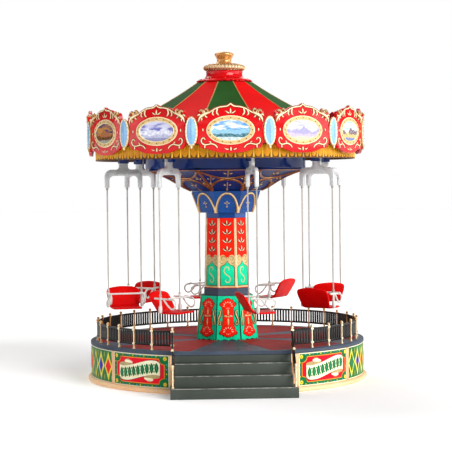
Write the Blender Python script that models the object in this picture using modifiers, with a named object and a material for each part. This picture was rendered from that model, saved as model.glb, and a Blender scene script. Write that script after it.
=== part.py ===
"""A tabletop model of a chair swing ride, 300 mm tall.

A round base with a deck, a fence and four steps carries an eight-sided column.
A drum and a striped roof turn on top of the column, and eight seats hang from the drum's arms.

Angles are in degrees. Angle 0 is the front (the side of the steps, -Y), and they grow towards +X.
"""

import math

import bmesh
import bpy
from mathutils import Matrix, Vector

MM = 0.001
GAP = 0.3 * MM

# Base, deck and steps
FOOT_RADIUS = 128.5 * MM
FOOT_HEIGHT = 4.2 * MM
BASE_RADIUS = 124.6 * MM
PANEL_RADIUS = 125.7 * MM
PILASTER_RADIUS = 126.2 * MM
PILASTER_HALF_ANGLE = 0.8
PANEL_SLACK_ANGLE = 0.07
BAYS_PER_SIDE = 4
DECK_RADIUS = 125.9 * MM
DECK_THICKNESS = 3.0 * MM
DECK_EDGE_ROUND = 0.5 * MM
DECK_TOP = 36.0 * MM
DECK_FRONT = 116.0 * MM
SIGN_EDGE_ANGLES = (26.2, 55.2)
STEP_COUNT = 4
STEP_RISE = DECK_TOP / STEP_COUNT
STEP_DEPTH = 11.8 * MM
STEP_ROOT = 106.0 * MM
DECK_NOSE = 0.6 * MM
STEP_HALF_WIDTH = 49.9 * MM
LOWEST_STEP_HALF_WIDTH = 53.5 * MM
ROUND_STEPS = 72

# Fence
FENCE_RADIUS = 119.7 * MM
FENCE_TOP = 56.2 * MM
FENCE_POST_RADIUS = 1.1 * MM
FENCE_BALL_RADIUS = 1.5 * MM
RAIL_HEIGHTS = (40.7 * MM, 52.5 * MM)
RAIL_SIZE = 1.7 * MM
RAIL_THICKNESS = 1.5 * MM
BALUSTER_WIDTH = 1.2 * MM
BALUSTER_SET_BACK = 0.15 * MM
BALUSTERS_PER_BAY = 6
FIRST_POST_ANGLES = (25.5, -25.2)
POST_PITCH_ANGLES = (10.0, -9.8)
POSTS_PER_SIDE = 14
SIDE_RUN_BAYS = 7
BACK_BAYS = 5
NEWEL_Y = -146.5 * MM
NEWEL_X = 51.2 * MM
NEWEL_TOP = 28.5 * MM
STEP_RAIL_TOPS = (NEWEL_TOP - 3.5 * MM, 51.5 * MM)
STEP_RAIL_SPACING = 9.5 * MM
STEP_RAIL_BALUSTERS = 8

# Column and capital, eight-sided: corner radius at each height
COLUMN_SIDES = 8
SKIRT_BOTTOM_RADIUS = 30.5 * MM
SKIRT_TOP_RADIUS = 25.8 * MM
SKIRT_TOP = 76.4 * MM
BOARD_THICKNESS = 1.6 * MM
BOARD_GAP = 1.5 * MM
BOARD_WAVE = 1.1 * MM
SKIRT_CORE_INSET = 1.3 * MM
COLLAR_RADIUS = 22.6 * MM
COLLAR_TOP = 82.8 * MM
SHAFT_BOTTOM_RADIUS = 21.6 * MM
SHAFT_TOP_RADIUS = 19.8 * MM
SHAFT_TOP = 146.9 * MM
NECK_RADIUS = 19.4 * MM
NECK_TOP = 152.1 * MM
CAPITAL_BOTTOM_RADIUS = 26.1 * MM
CAPITAL_WAIST_RADIUS = 34.0 * MM
CAPITAL_WAIST = 171.9 * MM
CAPITAL_TOP = 191.4 * MM
CAPITAL_RIM_RADIUS = 76.0 * MM

# Turning head
DRUM_RADIUS = 73.8 * MM
DRUM_BOTTOM = 191.7 * MM
CEILING = 212.0 * MM
VALANCE_RADIUS = 120.4 * MM
VALANCE_INNER_RADIUS = 118.0 * MM
VALANCE_BOTTOM = 200.1 * MM
ROOF_SIDES = 12
ROOF_RIM_APOTHEM = 121.8 * MM
ROOF_TOP = 271.0 * MM
PANEL_APOTHEM = 124.6 * MM
CROWN_BACK_APOTHEM = 122.1 * MM
CROWN_BAND_APOTHEM = 123.4 * MM
CAP_TOP = 282.0 * MM
RING_TOP = 287.4 * MM
TOTAL_HEIGHT = 300.0 * MM

# Swings
SWING_COUNT = 8
FIRST_SWING_ANGLE = 11.64
SWING_RADIUS = 95.4 * MM
PIN_HEIGHT = 201.5 * MM
PIN_RADIUS = 1.2 * MM
STEM_HALF_WIDTH = 4.0 * MM
FORK_THICKNESS = 3.2 * MM
LEG_OFFSET = 15.2 * MM
LEG_WIDTH = 4.0 * MM
LEG_BOTTOM = 175.6 * MM
FORK_TOP_EDGE = 192.2 * MM
FORK_LOWER_EDGE = 186.5 * MM
WIRE_RADIUS = 0.65 * MM
WIRE_BOTTOM = 81.2 * MM
LUG_RADIUS = 1.75 * MM
LUG_OFFSET = 15.7 * MM
LUG_BOTTOM = 67.0 * MM
LUG_TOP = 73.8 * MM
POST_RADIUS = 1.15 * MM
ARM_RADIUS = 0.9 * MM
SEAT_THICKNESS = 1.8 * MM

# Outlines as (x or radius, height) in millimetres
ROOF_CURVE = ((25.9, 271.0), (43.0, 259.9), (62.5, 248.7), (74.0, 242.6), (98.0, 233.9), (124.6, 227.6))
ROOF_RIM_TOP = 226.4
CAPITAL_CURVE = ((68.0, 188.2), (60.5, 185.3), (50.9, 180.5), (41.5, 175.2))
CAP_PROFILE = (
    (17.0, 282.0), (16.8, 280.0), (17.3, 278.0), (19.2, 275.3), (21.8, 273.6), (25.2, 273.0),
    (25.8, 272.2), (25.4, 271.3),
)
ROPE_RING_RADIUS = 16.9
FINIAL_PROFILE = (
    (4.5, 299.7), (7.6, 298.8), (8.8, 297.4), (7.9, 295.2), (6.6, 292.4), (6.5, 290.6),
    (8.5, 289.0), (14.5, 288.2), (15.0, 287.7),
)
CROWN_HALF_OUTLINE = (
    (0.0, 204.4), (11.0, 205.1), (20.5, 208.2), (24.0, 208.2), (26.5, 210.4), (28.2, 221.0),
    (27.2, 228.0), (28.6, 233.0), (27.6, 238.8), (24.2, 240.7), (20.4, 238.4), (12.6, 243.0),
    (3.4, 244.9), (0.0, 246.5),
)
CROWN_BAND_HEIGHTS = (212.4, 228.6)
OVAL_CENTRE = 222.7
OVAL_HALF_HEIGHT = 12.9
OVAL_HALF_WIDTH = 6.1
OVAL_DISTANCE = 127.3
OVAL_THICKNESS = 2.4
CROWN_SEAM_ANGLE = 2.78
FORK_SHOULDER, FORK_CROOK, FORK_FILLET = 6.4 * MM, 4.2 * MM, 2.6 * MM
CHEEK_THICKNESS = 2.4 * MM
CHEEK_HALF_LENGTH = 4.4 * MM
CHEEK_DROP = 3.9 * MM
ARM_REACH = 5.0 * MM

# Seat, as (forwards, height) in millimetres
LOOP_PATH = ((13.2, 79.0), (15.7, 76.4), (14.8, 72.4), (11.6, 70.9), (7.6, 73.6), (3.0, 79.2))
ARM_ENDS = ((-6.2, 79.8), (13.2, 79.0))
LAP_BAR_PLACE = (9.6, 79.9)
SEAT_PATH = (
    (17.4, 67.4), (16.0, 66.9), (-1.2, 66.9), (-3.6, 67.9), (-5.0, 70.0), (-9.0, 76.9), (-13.8, 84.9),
)
SEAT_HALF_WIDTHS = (12.6, 13.5, 13.5, 13.8, 14.0, 15.6, 15.4)
SEAT_COLUMNS = (-1.0, -0.86, -0.4, 0.0, 0.4, 0.86, 1.0)
BACK_EDGE_LIFT = (-2.6, -0.5, 0.6, 1.0, 0.6, -0.5, -2.6)

COLOURS = {
    "tan": ((0.68, 0.40, 0.16), 0.45, 0.3),
    "slate": ((0.06, 0.08, 0.12), 0.6, 0.0),
    "step_grey": ((0.07, 0.09, 0.07), 0.7, 0.0),
    "fence_black": ((0.01, 0.01, 0.01), 0.4, 0.0),
    "panel_green": ((0.01, 0.15, 0.04), 0.4, 0.0),
    "turquoise": ((0.01, 0.65, 0.35), 0.4, 0.0),
    "shaft_red": ((0.9, 0.05, 0.02), 0.4, 0.0),
    "royal_blue": ((0.01, 0.07, 0.33), 0.25, 0.0),
    "gold": ((0.6, 0.28, 0.06), 0.35, 0.7),
    "amber": ((0.6, 0.33, 0.02), 0.3, 0.4),
    "roof_red": ((0.75, 0.02, 0.02), 0.4, 0.0),
    "crown_red": ((0.8, 0.02, 0.02), 0.4, 0.0),
    "fork_silver": ((0.6, 0.6, 0.55), 0.4, 0.4),
    "frame_white": ((0.85, 0.83, 0.8), 0.4, 0.0),
    "seat_red": ((0.55, 0.005, 0.005), 0.2, 0.0),
}


def in_metres(points):
    """Pairs in millimetres as metres."""
    return [(first * MM, second * MM) for first, second in points]


def collection(name):
    """A new collection linked to the scene."""
    made = bpy.data.collections.new(name)
    bpy.context.scene.collection.children.link(made)
    return made


def material(name):
    """The named colour as a Principled material."""
    if name in bpy.data.materials:
        return bpy.data.materials[name]
    colour, roughness, metallic = COLOURS[name]
    made = bpy.data.materials.new(name)
    made.use_nodes = True
    shader = made.node_tree.nodes["Principled BSDF"]
    shader.inputs["Base Color"].default_value = (*colour, 1.0)
    shader.inputs["Roughness"].default_value = roughness
    shader.inputs["Metallic"].default_value = metallic
    return made


def place(angle, radius=0.0, height=0.0):
    """The matrix that stands a shape made at the front on its angle, radius and height."""
    turn = Matrix.Rotation(math.radians(angle), 4, "Z")
    return turn @ Matrix.Translation((0.0, -radius, height))


def loose(mesh, matrix=None):
    """An unlinked object that holds one building shape."""
    made = bpy.data.objects.new(mesh.name, mesh)
    if matrix is not None:
        mesh.transform(matrix)
    return made


def from_bmesh(shape, matrix=None):
    """A loose object from a bmesh."""
    mesh = bpy.data.meshes.new("shape")
    shape.to_mesh(mesh)
    shape.free()
    return loose(mesh, matrix)


def box(low, high, matrix=None):
    """A box between two corners."""
    low, high = Vector(low), Vector(high)
    size = high - low
    shape = bmesh.new()
    stretch = Matrix.Translation((low + high) / 2) @ Matrix.Diagonal((*size, 1.0))
    bmesh.ops.create_cube(shape, size=1.0, matrix=stretch)
    return from_bmesh(shape, matrix)


def rod(radius, bottom, top, sides, matrix=None):
    """An upright round rod on the local axis."""
    shape = bmesh.new()
    centre = Matrix.Translation((0.0, 0.0, (bottom + top) / 2))
    bmesh.ops.create_cone(
        shape, cap_ends=True, segments=sides, radius1=radius, radius2=radius,
        depth=top - bottom, matrix=centre,
    )
    return from_bmesh(shape, matrix)


def ball(radius, height, matrix=None):
    """A small ball on the local axis."""
    shape = bmesh.new()
    centre = Matrix.Translation((0.0, 0.0, height))
    bmesh.ops.create_uvsphere(
        shape, u_segments=5, v_segments=4, radius=radius, matrix=centre,
    )
    return from_bmesh(shape, matrix)


def evaluated(source):
    """A loose object from what a curve or a modified object makes, with its caps welded."""
    bpy.context.scene.collection.objects.link(source)
    bpy.context.view_layer.update()
    graph = bpy.context.evaluated_depsgraph_get()
    mesh = bpy.data.meshes.new_from_object(source.evaluated_get(graph))
    shape = bmesh.new()
    shape.from_mesh(mesh)
    bmesh.ops.remove_doubles(shape, verts=shape.verts, dist=0.001 * MM)
    shape.to_mesh(mesh)
    shape.free()
    made = loose(mesh, source.matrix_world)
    bpy.data.objects.remove(source)
    return made


def plate(outline, thickness, matrix=None):
    """A flat plate: an outline of (x, z) points, made thick along Y about y = 0."""
    curve = bpy.data.curves.new("plate", "CURVE")
    curve.dimensions = "2D"
    curve.fill_mode = "BOTH"
    curve.extrude = thickness / 2
    spline = curve.splines.new("POLY")
    spline.points.add(len(outline) - 1)
    for point, (x, z) in zip(spline.points, outline):
        point.co = (x, z, 0.0, 1.0)
    spline.use_cyclic_u = True
    made = evaluated(bpy.data.objects.new("plate", curve))
    made.data.transform(Matrix.Rotation(math.radians(90), 4, "X"))
    if matrix is not None:
        made.data.transform(matrix)
    return made


def tube(points, radius):
    """A thin four-sided bar along a path."""
    curve = bpy.data.curves.new("tube", "CURVE")
    curve.dimensions = "3D"
    curve.bevel_depth = radius
    curve.bevel_resolution = 0
    curve.use_fill_caps = True
    spline = curve.splines.new("POLY")
    spline.points.add(len(points) - 1)
    for point, place_of in zip(spline.points, points):
        point.co = (*place_of, 1.0)
    return evaluated(bpy.data.objects.new("tube", curve))


def turned(profile, steps, turn=0.0):
    """A turned shape: (radius, height) points from the top outer side down to the bottom."""
    mesh = bpy.data.meshes.new("profile")
    points = [(radius, 0.0, height) for radius, height in profile]
    edges = [(i, i + 1) for i in range(len(points) - 1)]
    mesh.from_pydata(points, edges, [])
    made = bpy.data.objects.new("turned", mesh)
    screw = made.modifiers.new("screw", "SCREW")
    screw.axis = "Z"
    screw.angle = math.radians(360.0)
    screw.steps = steps
    screw.render_steps = steps
    screw.use_merge_vertices = True
    screw.merge_threshold = 0.00001
    made = evaluated(made)
    made.data.transform(Matrix.Rotation(math.radians(turn - 90.0), 4, "Z"))
    return made


def ring_piece(inner, outer, bottom, top, start, end, steps):
    """A curved wall between two angles."""
    shape = bmesh.new()
    corners = [(inner, bottom), (outer, bottom), (outer, top), (inner, top)]
    verts = [shape.verts.new((0.0, -radius, height)) for radius, height in corners]
    face = shape.faces.new(verts)
    bmesh.ops.rotate(
        shape, verts=shape.verts, cent=(0.0, 0.0, 0.0),
        matrix=Matrix.Rotation(math.radians(start), 3, "Z"),
    )
    bmesh.ops.spin(
        shape, geom=[face, *face.verts, *face.edges], cent=(0.0, 0.0, 0.0),
        axis=(0.0, 0.0, 1.0), angle=math.radians(end - start), steps=steps,
        use_duplicate=False,
    )
    bmesh.ops.recalc_face_normals(shape, faces=shape.faces)
    return from_bmesh(shape)


def trimmed(source, start, end):
    """A shape kept between two angles, drawn in by half a gap at each, with the cuts closed."""
    shape = bmesh.new()
    shape.from_mesh(source.data)
    for angle, sign in ((start, -1), (end, 1)):
        outwards = sign * (place(angle).to_3x3() @ Vector((1.0, 0.0, 0.0)))
        found = bmesh.ops.bisect_plane(
            shape, geom=[*shape.verts, *shape.edges, *shape.faces], plane_co=-outwards * GAP / 2,
            plane_no=outwards, clear_outer=True,
        )
        rim = [part for part in found["geom_cut"] if isinstance(part, bmesh.types.BMEdge)]
        bmesh.ops.holes_fill(shape, edges=rim, sides=0)
    shape.to_mesh(source.data)
    shape.free()
    return source


def boolean(base, others, operation):
    """One mesh from a base and others by the exact solver; the building shapes are removed."""
    group = bpy.data.collections.new("operands")
    for other in others:
        group.objects.link(other)
    step = base.modifiers.new(operation.lower(), "BOOLEAN")
    step.operation = operation
    step.operand_type = "COLLECTION"
    step.collection = group
    step.solver = "EXACT"
    made = evaluated(base)
    for other in others:
        bpy.data.objects.remove(other)
    bpy.data.collections.remove(group)
    return made


def fused(pieces):
    """Overlapping shapes joined into one body."""
    return boolean(pieces[0], pieces[1:], "UNION")


def cut(base, cutters):
    """A shape with others taken away."""
    return boolean(base, cutters, "DIFFERENCE")


def publish(name, shape, colour, target, parent=None, matrix=None):
    """Give a finished shape its name, material, collection and parent."""
    shape.data.name = name
    shape.data.materials.clear()
    shape.data.materials.append(material(colour))
    made = bpy.data.objects.new(name, shape.data)
    target.objects.link(made)
    bpy.data.objects.remove(shape)
    made.parent = parent
    if matrix is not None:
        made.matrix_local = matrix
    return made


def arc(centre_x, centre_z, radius, start, end, steps):
    """Points on an arc in the XZ plane, from one angle to another, both included."""
    angles = [start + (end - start) * i / steps for i in range(steps + 1)]
    return [
        (centre_x + radius * math.cos(math.radians(a)), centre_z + radius * math.sin(math.radians(a)))
        for a in angles
    ]


def mirrored(half):
    """A closed outline from its right half, given from bottom centre up to top centre."""
    left = [(-x, z) for x, z in reversed(half) if abs(x) > 0.01 * MM]
    return half + left


def front_slot(half_width, depth):
    """The room taken out of the front of the base for the steps, or off the deck for its straight edge."""
    return box((-half_width, -2 * FOOT_RADIUS, -MM), (half_width, -depth, 2 * DECK_TOP))


def build_base(target):
    """The moulded base with its round foot, and the deck on it with a straight edge at the steps."""
    top = DECK_TOP - DECK_THICKNESS - GAP
    half = FOOT_HEIGHT / 2
    foot = arc(FOOT_RADIUS - half, half, half, 90, -90, 6)
    profile = [(0.0, top), (BASE_RADIUS, top), (BASE_RADIUS, FOOT_HEIGHT), *foot, (0.0, 0.0)]
    slot = front_slot(STEP_HALF_WIDTH + 2 * GAP, STEP_ROOT - GAP)
    base = cut(turned(profile, ROUND_STEPS), [slot])
    publish("base_drum", base, "tan", target)
    bottom = DECK_TOP - DECK_THICKNESS
    disc = [
        (0.0, DECK_TOP), (DECK_RADIUS - DECK_EDGE_ROUND, DECK_TOP),
        (DECK_RADIUS, DECK_TOP - DECK_EDGE_ROUND), (DECK_RADIUS, bottom), (0.0, bottom),
    ]
    deck = cut(turned(disc, ROUND_STEPS), [front_slot(DECK_RADIUS, DECK_FRONT)])
    publish("deck", deck, "slate", target)


def build_side_panels(target):
    """The painted sign panels beside the steps, and the bands of four bays round each side."""
    low = FOOT_HEIGHT + GAP
    high = DECK_TOP - DECK_THICKNESS - GAP
    inner = BASE_RADIUS + GAP
    near, far = SIGN_EDGE_ANGLES
    half = PILASTER_HALF_ANGLE
    bay = (180.0 - far) / BAYS_PER_SIDE
    for side, sign in (("right", 1), ("left", -1)):
        start, end = near + half, far - half
        parts = [
            ring_piece(inner, PANEL_RADIUS, low, high, sign * start, sign * end, 7),
            ring_piece(inner, PILASTER_RADIUS, low, high, sign * near, sign * (near + 2 * half), 1),
        ]
        publish(f"sign_panel_{side}", fused(parts), "panel_green", target)
        start = far - half + PANEL_SLACK_ANGLE
        stop = 180.0 - PANEL_SLACK_ANGLE
        parts = [ring_piece(inner, PANEL_RADIUS, low, high, sign * start, sign * stop, 24)]
        for index in range(BAYS_PER_SIDE):
            centre = far + index * bay
            first = max(centre - half, start)
            parts.append(
                ring_piece(inner, PILASTER_RADIUS, low, high, sign * first, sign * (centre + half), 1)
            )
        parts.append(
            ring_piece(inner, PILASTER_RADIUS, low, high, sign * (180.0 - half), sign * stop, 1)
        )
        publish(f"side_band_{side}", fused(parts), "panel_green", target)


def build_steps(target):
    """Three steps and the riser under the deck's edge, in one flight; the lowest step is a little wider."""
    last = STEP_COUNT - 1
    fronts = [DECK_FRONT - DECK_NOSE + STEP_DEPTH * (last - i) for i in range(STEP_COUNT)]
    tops = [STEP_RISE * (i + 1) for i in range(last)] + [DECK_TOP - DECK_THICKNESS - GAP]
    pieces = [
        box((-STEP_HALF_WIDTH, -front, 0.0), (STEP_HALF_WIDTH, -STEP_ROOT, top))
        for front, top in zip(fronts, tops)
    ]
    wide = box(
        (-LOWEST_STEP_HALF_WIDTH, -fronts[0], 0.0),
        (LOWEST_STEP_HALF_WIDTH, -fronts[2], STEP_RISE),
    )
    publish("steps", fused([*pieces, wide]), "step_grey", target)


def fence_bay(first, second, first_own, second_own):
    """Rails and balusters between two post angles; an end at a neighbour's post stops short."""
    start, end = place(first, FENCE_RADIUS).translation, place(second, FENCE_RADIUS).translation
    run = end - start
    along = run.normalized()
    short = FENCE_POST_RADIUS + GAP
    low = 0.0 if first_own else short
    high = run.length - (0.0 if second_own else short)
    frame = Matrix.Translation(start) @ along.to_track_quat("X", "Z").to_matrix().to_4x4()
    half = RAIL_THICKNESS / 2
    shapes = [
        box((low, -half, z - RAIL_SIZE / 2), (high, half, z + RAIL_SIZE / 2), frame)
        for z in RAIL_HEIGHTS
    ]
    pitch = run.length / (BALUSTERS_PER_BAY + 1)
    for index in range(1, BALUSTERS_PER_BAY + 1):
        x = pitch * index
        width = BALUSTER_WIDTH / 2
        depth = half - BALUSTER_SET_BACK
        shapes.append(
            box((x - width, -depth, RAIL_HEIGHTS[0]), (x + width, depth, RAIL_HEIGHTS[1]), frame)
        )
    return shapes


def fence_post(angle):
    """A post with a ball on top."""
    stand = place(angle, FENCE_RADIUS)
    neck = FENCE_TOP - FENCE_BALL_RADIUS
    return [
        rod(FENCE_POST_RADIUS, DECK_TOP + GAP, neck, 5, stand),
        ball(FENCE_BALL_RADIUS, neck, stand),
    ]


def build_fence(target):
    """Five runs of railing round the deck, open at the steps."""
    right, left = (
        [first + pitch * i for i in range(POSTS_PER_SIDE)]
        for first, pitch in zip(FIRST_POST_ANGLES, POST_PITCH_ANGLES)
    )
    back_span = (360.0 + left[-1]) - right[-1]
    back = [right[-1] + back_span * i / BACK_BAYS for i in range(BACK_BAYS + 1)]
    turn = SIDE_RUN_BAYS
    runs = (
        ("fence_right_front", right[:turn + 1], True, True),
        ("fence_right_back", right[turn:], False, True),
        ("fence_back", back, False, False),
        ("fence_left_back", left[turn:], False, True),
        ("fence_left_front", left[:turn + 1], True, True),
    )
    for name, angles, first_own, last_own in runs:
        shapes = []
        last = len(angles) - 1
        for index, angle in enumerate(angles):
            own = (index > 0 or first_own) and (index < last or last_own)
            if own:
                shapes += fence_post(angle)
            if index < last:
                own_start = index > 0 or first_own
                own_end = index + 1 < last or last_own
                shapes += fence_bay(angle, angles[index + 1], own_start, own_end)
        publish(name, fused(shapes), "fence_black", target)


def build_step_rails(target):
    """A newel on the lowest step each side, and sloping rails up to the fence."""
    fence_end = place(FIRST_POST_ANGLES[0], FENCE_RADIUS).translation
    rail_end = fence_end.y - FENCE_POST_RADIUS - 3 * GAP
    neck = NEWEL_TOP - FENCE_BALL_RADIUS
    half = BALUSTER_WIDTH / 2
    for side, sign in (("right", 1), ("left", -1)):
        x = sign * NEWEL_X
        stand = Matrix.Translation((x, NEWEL_Y, 0.0))
        upper = [Vector((x, y, z)) for y, z in zip((NEWEL_Y, rail_end), STEP_RAIL_TOPS)]
        lower = [point - Vector((0.0, 0.0, STEP_RAIL_SPACING)) for point in upper]
        shapes = [
            rod(FENCE_POST_RADIUS, STEP_RISE + GAP, neck, 5, stand),
            ball(FENCE_BALL_RADIUS, neck, stand),
            tube(upper, RAIL_SIZE / 2),
            tube(lower, RAIL_SIZE / 2),
        ]
        for index in range(1, STEP_RAIL_BALUSTERS + 1):
            share = index / (STEP_RAIL_BALUSTERS + 0.5)
            top, foot = upper[0].lerp(upper[1], share), lower[0].lerp(lower[1], share)
            shapes.append(box((x - half, top.y - half, foot.z), (x + half, top.y + half, top.z)))
        middle = upper[0].lerp(upper[1], 0.5)
        shapes.append(ball(FENCE_BALL_RADIUS, 0.0, Matrix.Translation(middle)))
        publish(f"step_rail_{side}", fused(shapes), "fence_black", target)


def board_outline():
    """One painted board of the lower column, seen from the front, with its wavy lower edge."""
    flat = math.tan(math.radians(180.0 / COLUMN_SIDES)) * math.cos(math.radians(180.0 / COLUMN_SIDES))
    top = SKIRT_TOP_RADIUS * flat - BOARD_GAP / 2
    bottom = SKIRT_BOTTOM_RADIUS * flat - BOARD_GAP / 2
    low = DECK_TOP + 2 * GAP
    high = SKIRT_TOP - 0.4 * MM
    half = [
        (0.0, low + 0.4 * BOARD_WAVE), (0.35 * bottom, low + BOARD_WAVE),
        (0.7 * bottom, low + 0.2 * BOARD_WAVE), (0.88 * bottom, low + BOARD_WAVE),
        (bottom, low), (top, high), (0.0, high),
    ]
    return mirrored(half)


def build_column(target):
    """Skirt of eight boards, collar, shaft and the two tiers of the capital, all eight-sided."""
    turn = 180.0 / COLUMN_SIDES
    core = turned(
        [
            (0.0, SKIRT_TOP), (SKIRT_TOP_RADIUS - SKIRT_CORE_INSET, SKIRT_TOP),
            (SKIRT_BOTTOM_RADIUS - SKIRT_CORE_INSET, DECK_TOP + GAP), (0.0, DECK_TOP + GAP),
        ],
        COLUMN_SIDES, turn,
    )
    shrink = math.cos(math.radians(turn))
    height = SKIRT_TOP - DECK_TOP
    lean = math.atan2((SKIRT_BOTTOM_RADIUS - SKIRT_TOP_RADIUS) * shrink, height)
    stand_back = SKIRT_BOTTOM_RADIUS * shrink - BOARD_THICKNESS / 2
    pivot = Matrix.Translation((0.0, -stand_back, DECK_TOP))
    tilt = pivot @ Matrix.Rotation(-lean, 4, "X") @ Matrix.Translation((0.0, 0.0, -DECK_TOP))
    boards = [
        plate(board_outline(), BOARD_THICKNESS, place(i * 360.0 / COLUMN_SIDES) @ tilt)
        for i in range(COLUMN_SIDES)
    ]
    publish("column_skirt", fused([core, *boards]), "turquoise", target)
    collar = [
        (0.0, COLLAR_TOP), (COLLAR_RADIUS - 0.4 * MM, COLLAR_TOP), (COLLAR_RADIUS, SKIRT_TOP + 1.4 * MM),
        (COLLAR_RADIUS, SKIRT_TOP + GAP), (0.0, SKIRT_TOP + GAP),
    ]
    publish("column_collar", turned(collar, COLUMN_SIDES, turn), "slate", target)
    shaft = [
        (0.0, SHAFT_TOP), (SHAFT_TOP_RADIUS, SHAFT_TOP),
        (SHAFT_BOTTOM_RADIUS, COLLAR_TOP + GAP), (0.0, COLLAR_TOP + GAP),
    ]
    publish("column_shaft", turned(shaft, COLUMN_SIDES, turn), "shaft_red", target)
    lower = [
        (0.0, CAPITAL_WAIST - GAP), (CAPITAL_WAIST_RADIUS, CAPITAL_WAIST - GAP),
        (CAPITAL_WAIST_RADIUS - 1.1 * MM, CAPITAL_WAIST - 3.0 * MM),
        (CAPITAL_BOTTOM_RADIUS, NECK_TOP), (NECK_RADIUS, NECK_TOP),
        (NECK_RADIUS, SHAFT_TOP + GAP), (0.0, SHAFT_TOP + GAP),
    ]
    publish("capital_lower", turned(lower, COLUMN_SIDES, turn), "royal_blue", target)
    upper = [
        (0.0, CAPITAL_TOP), (CAPITAL_RIM_RADIUS, CAPITAL_TOP), (CAPITAL_RIM_RADIUS, CAPITAL_TOP - 0.8 * MM),
        *in_metres(CAPITAL_CURVE), (CAPITAL_WAIST_RADIUS, CAPITAL_WAIST), (0.0, CAPITAL_WAIST),
    ]
    publish("capital_upper", turned(upper, COLUMN_SIDES, turn), "royal_blue", target)


def build_drum(target, head):
    """The round blue drum, an arm to each swing, its two cheeks and the pin between them."""
    shapes = [
        turned(
            [
                (0.0, CEILING), (DRUM_RADIUS, CEILING), (DRUM_RADIUS, DRUM_BOTTOM + 0.6 * MM),
                (DRUM_RADIUS - 0.6 * MM, DRUM_BOTTOM), (0.0, DRUM_BOTTOM),
            ],
            48,
        )
    ]
    inner_face = FORK_THICKNESS / 2 + GAP
    outer_face = inner_face + CHEEK_THICKNESS
    cheek_low = PIN_HEIGHT - CHEEK_DROP
    arm_low = PIN_HEIGHT + STEM_HALF_WIDTH + 0.8 * MM
    for index in range(SWING_COUNT):
        stand = place(swing_angle(index))
        reach = SWING_RADIUS + ARM_REACH
        shapes.append(
            box((-outer_face, -reach, arm_low), (outer_face, -DRUM_RADIUS + 3 * MM, CEILING), stand)
        )
        for sign in (-1, 1):
            sides = sorted((sign * inner_face, sign * outer_face))
            shapes.append(
                box(
                    (sides[0], -SWING_RADIUS - CHEEK_HALF_LENGTH, cheek_low),
                    (sides[1], -SWING_RADIUS + CHEEK_HALF_LENGTH, arm_low + MM),
                    stand,
                )
            )
        lie = stand @ Matrix.Translation((0.0, -SWING_RADIUS, PIN_HEIGHT)) @ Matrix.Rotation(
            math.radians(90), 4, "Y"
        )
        shapes.append(rod(PIN_RADIUS, -outer_face + MM, outer_face - MM, 6, lie))
    publish("swing_drum", fused(shapes), "royal_blue", target, head)


def build_roof(target, head):
    """Valance ring, twelve-sided roof, red cap, gold ring and finial."""
    valance = cut(
        rod(VALANCE_RADIUS, VALANCE_BOTTOM, CEILING, 60),
        [rod(VALANCE_INNER_RADIUS, VALANCE_BOTTOM - MM, CEILING + MM, 60)],
    )
    publish("valance", valance, "amber", target, head)
    turn = 180.0 / ROOF_SIDES
    rim = ROOF_RIM_APOTHEM / math.cos(math.radians(turn))
    roof = [
        (0.0, ROOF_TOP), *in_metres(ROOF_CURVE), (rim, ROOF_RIM_TOP * MM), (rim, CEILING + GAP),
        (0.0, CEILING + GAP),
    ]
    publish("roof", turned(roof, ROOF_SIDES, turn), "roof_red", target, head)
    cap = [(0.0, CAP_TOP), *in_metres(CAP_PROFILE), (0.0, ROOF_TOP + GAP)]
    publish("roof_cap", turned(cap, 30), "roof_red", target, head)
    half = (RING_TOP - CAP_TOP - GAP) / 2
    ring = arc(ROPE_RING_RADIUS * MM, RING_TOP - half, half, 90, -90, 5)
    ring = [(0.0, RING_TOP), *ring, (0.0, CAP_TOP + GAP)]
    publish("rope_ring", turned(ring, 30), "gold", target, head)
    finial = [(0.0, TOTAL_HEIGHT), *in_metres(FINIAL_PROFILE), (0.0, RING_TOP + GAP)]
    publish("finial", turned(finial, 20), "gold", target, head)


def build_crown(target, head):
    """Four quarters of the crown: three panels and three corner ovals each, on a bent band."""
    corner = 180.0 / ROOF_SIDES
    depth = PANEL_APOTHEM - CROWN_BACK_APOTHEM
    outline = mirrored(in_metres(CROWN_HALF_OUTLINE))
    turns = [math.radians(30.0 * i) for i in range(12)]
    oval = in_metres(
        [(OVAL_HALF_WIDTH * math.sin(a), OVAL_CENTRE - OVAL_HALF_HEIGHT * math.cos(a)) for a in turns]
    )
    low_edge, high_edge = (height * MM for height in CROWN_BAND_HEIGHTS)
    band_half = CROWN_BAND_APOTHEM * math.tan(math.radians(corner))
    for index, name in enumerate(("front", "right", "back", "left")):
        first = 90.0 * index - 30.0
        shapes = []
        for step in range(3):
            angle = first + 30.0 * step
            stand = place(angle)
            shapes.append(plate(outline, depth, place(angle, PANEL_APOTHEM - depth / 2)))
            shapes.append(
                box(
                    (-band_half, -CROWN_BAND_APOTHEM, low_edge),
                    (band_half, -CROWN_BACK_APOTHEM, high_edge), stand,
                )
            )
            shapes.append(plate(oval, OVAL_THICKNESS * MM, place(angle - corner, OVAL_DISTANCE * MM)))
        start = first - corner - CROWN_SEAM_ANGLE
        quarter = trimmed(fused(shapes), start, start + 90.0)
        publish(f"crown_{name}", quarter, "crown_red", target, head)


def swing_angle(index):
    """The angle of a swing round the ride."""
    return FIRST_SWING_ANGLE + index * 360.0 / SWING_COUNT


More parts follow.
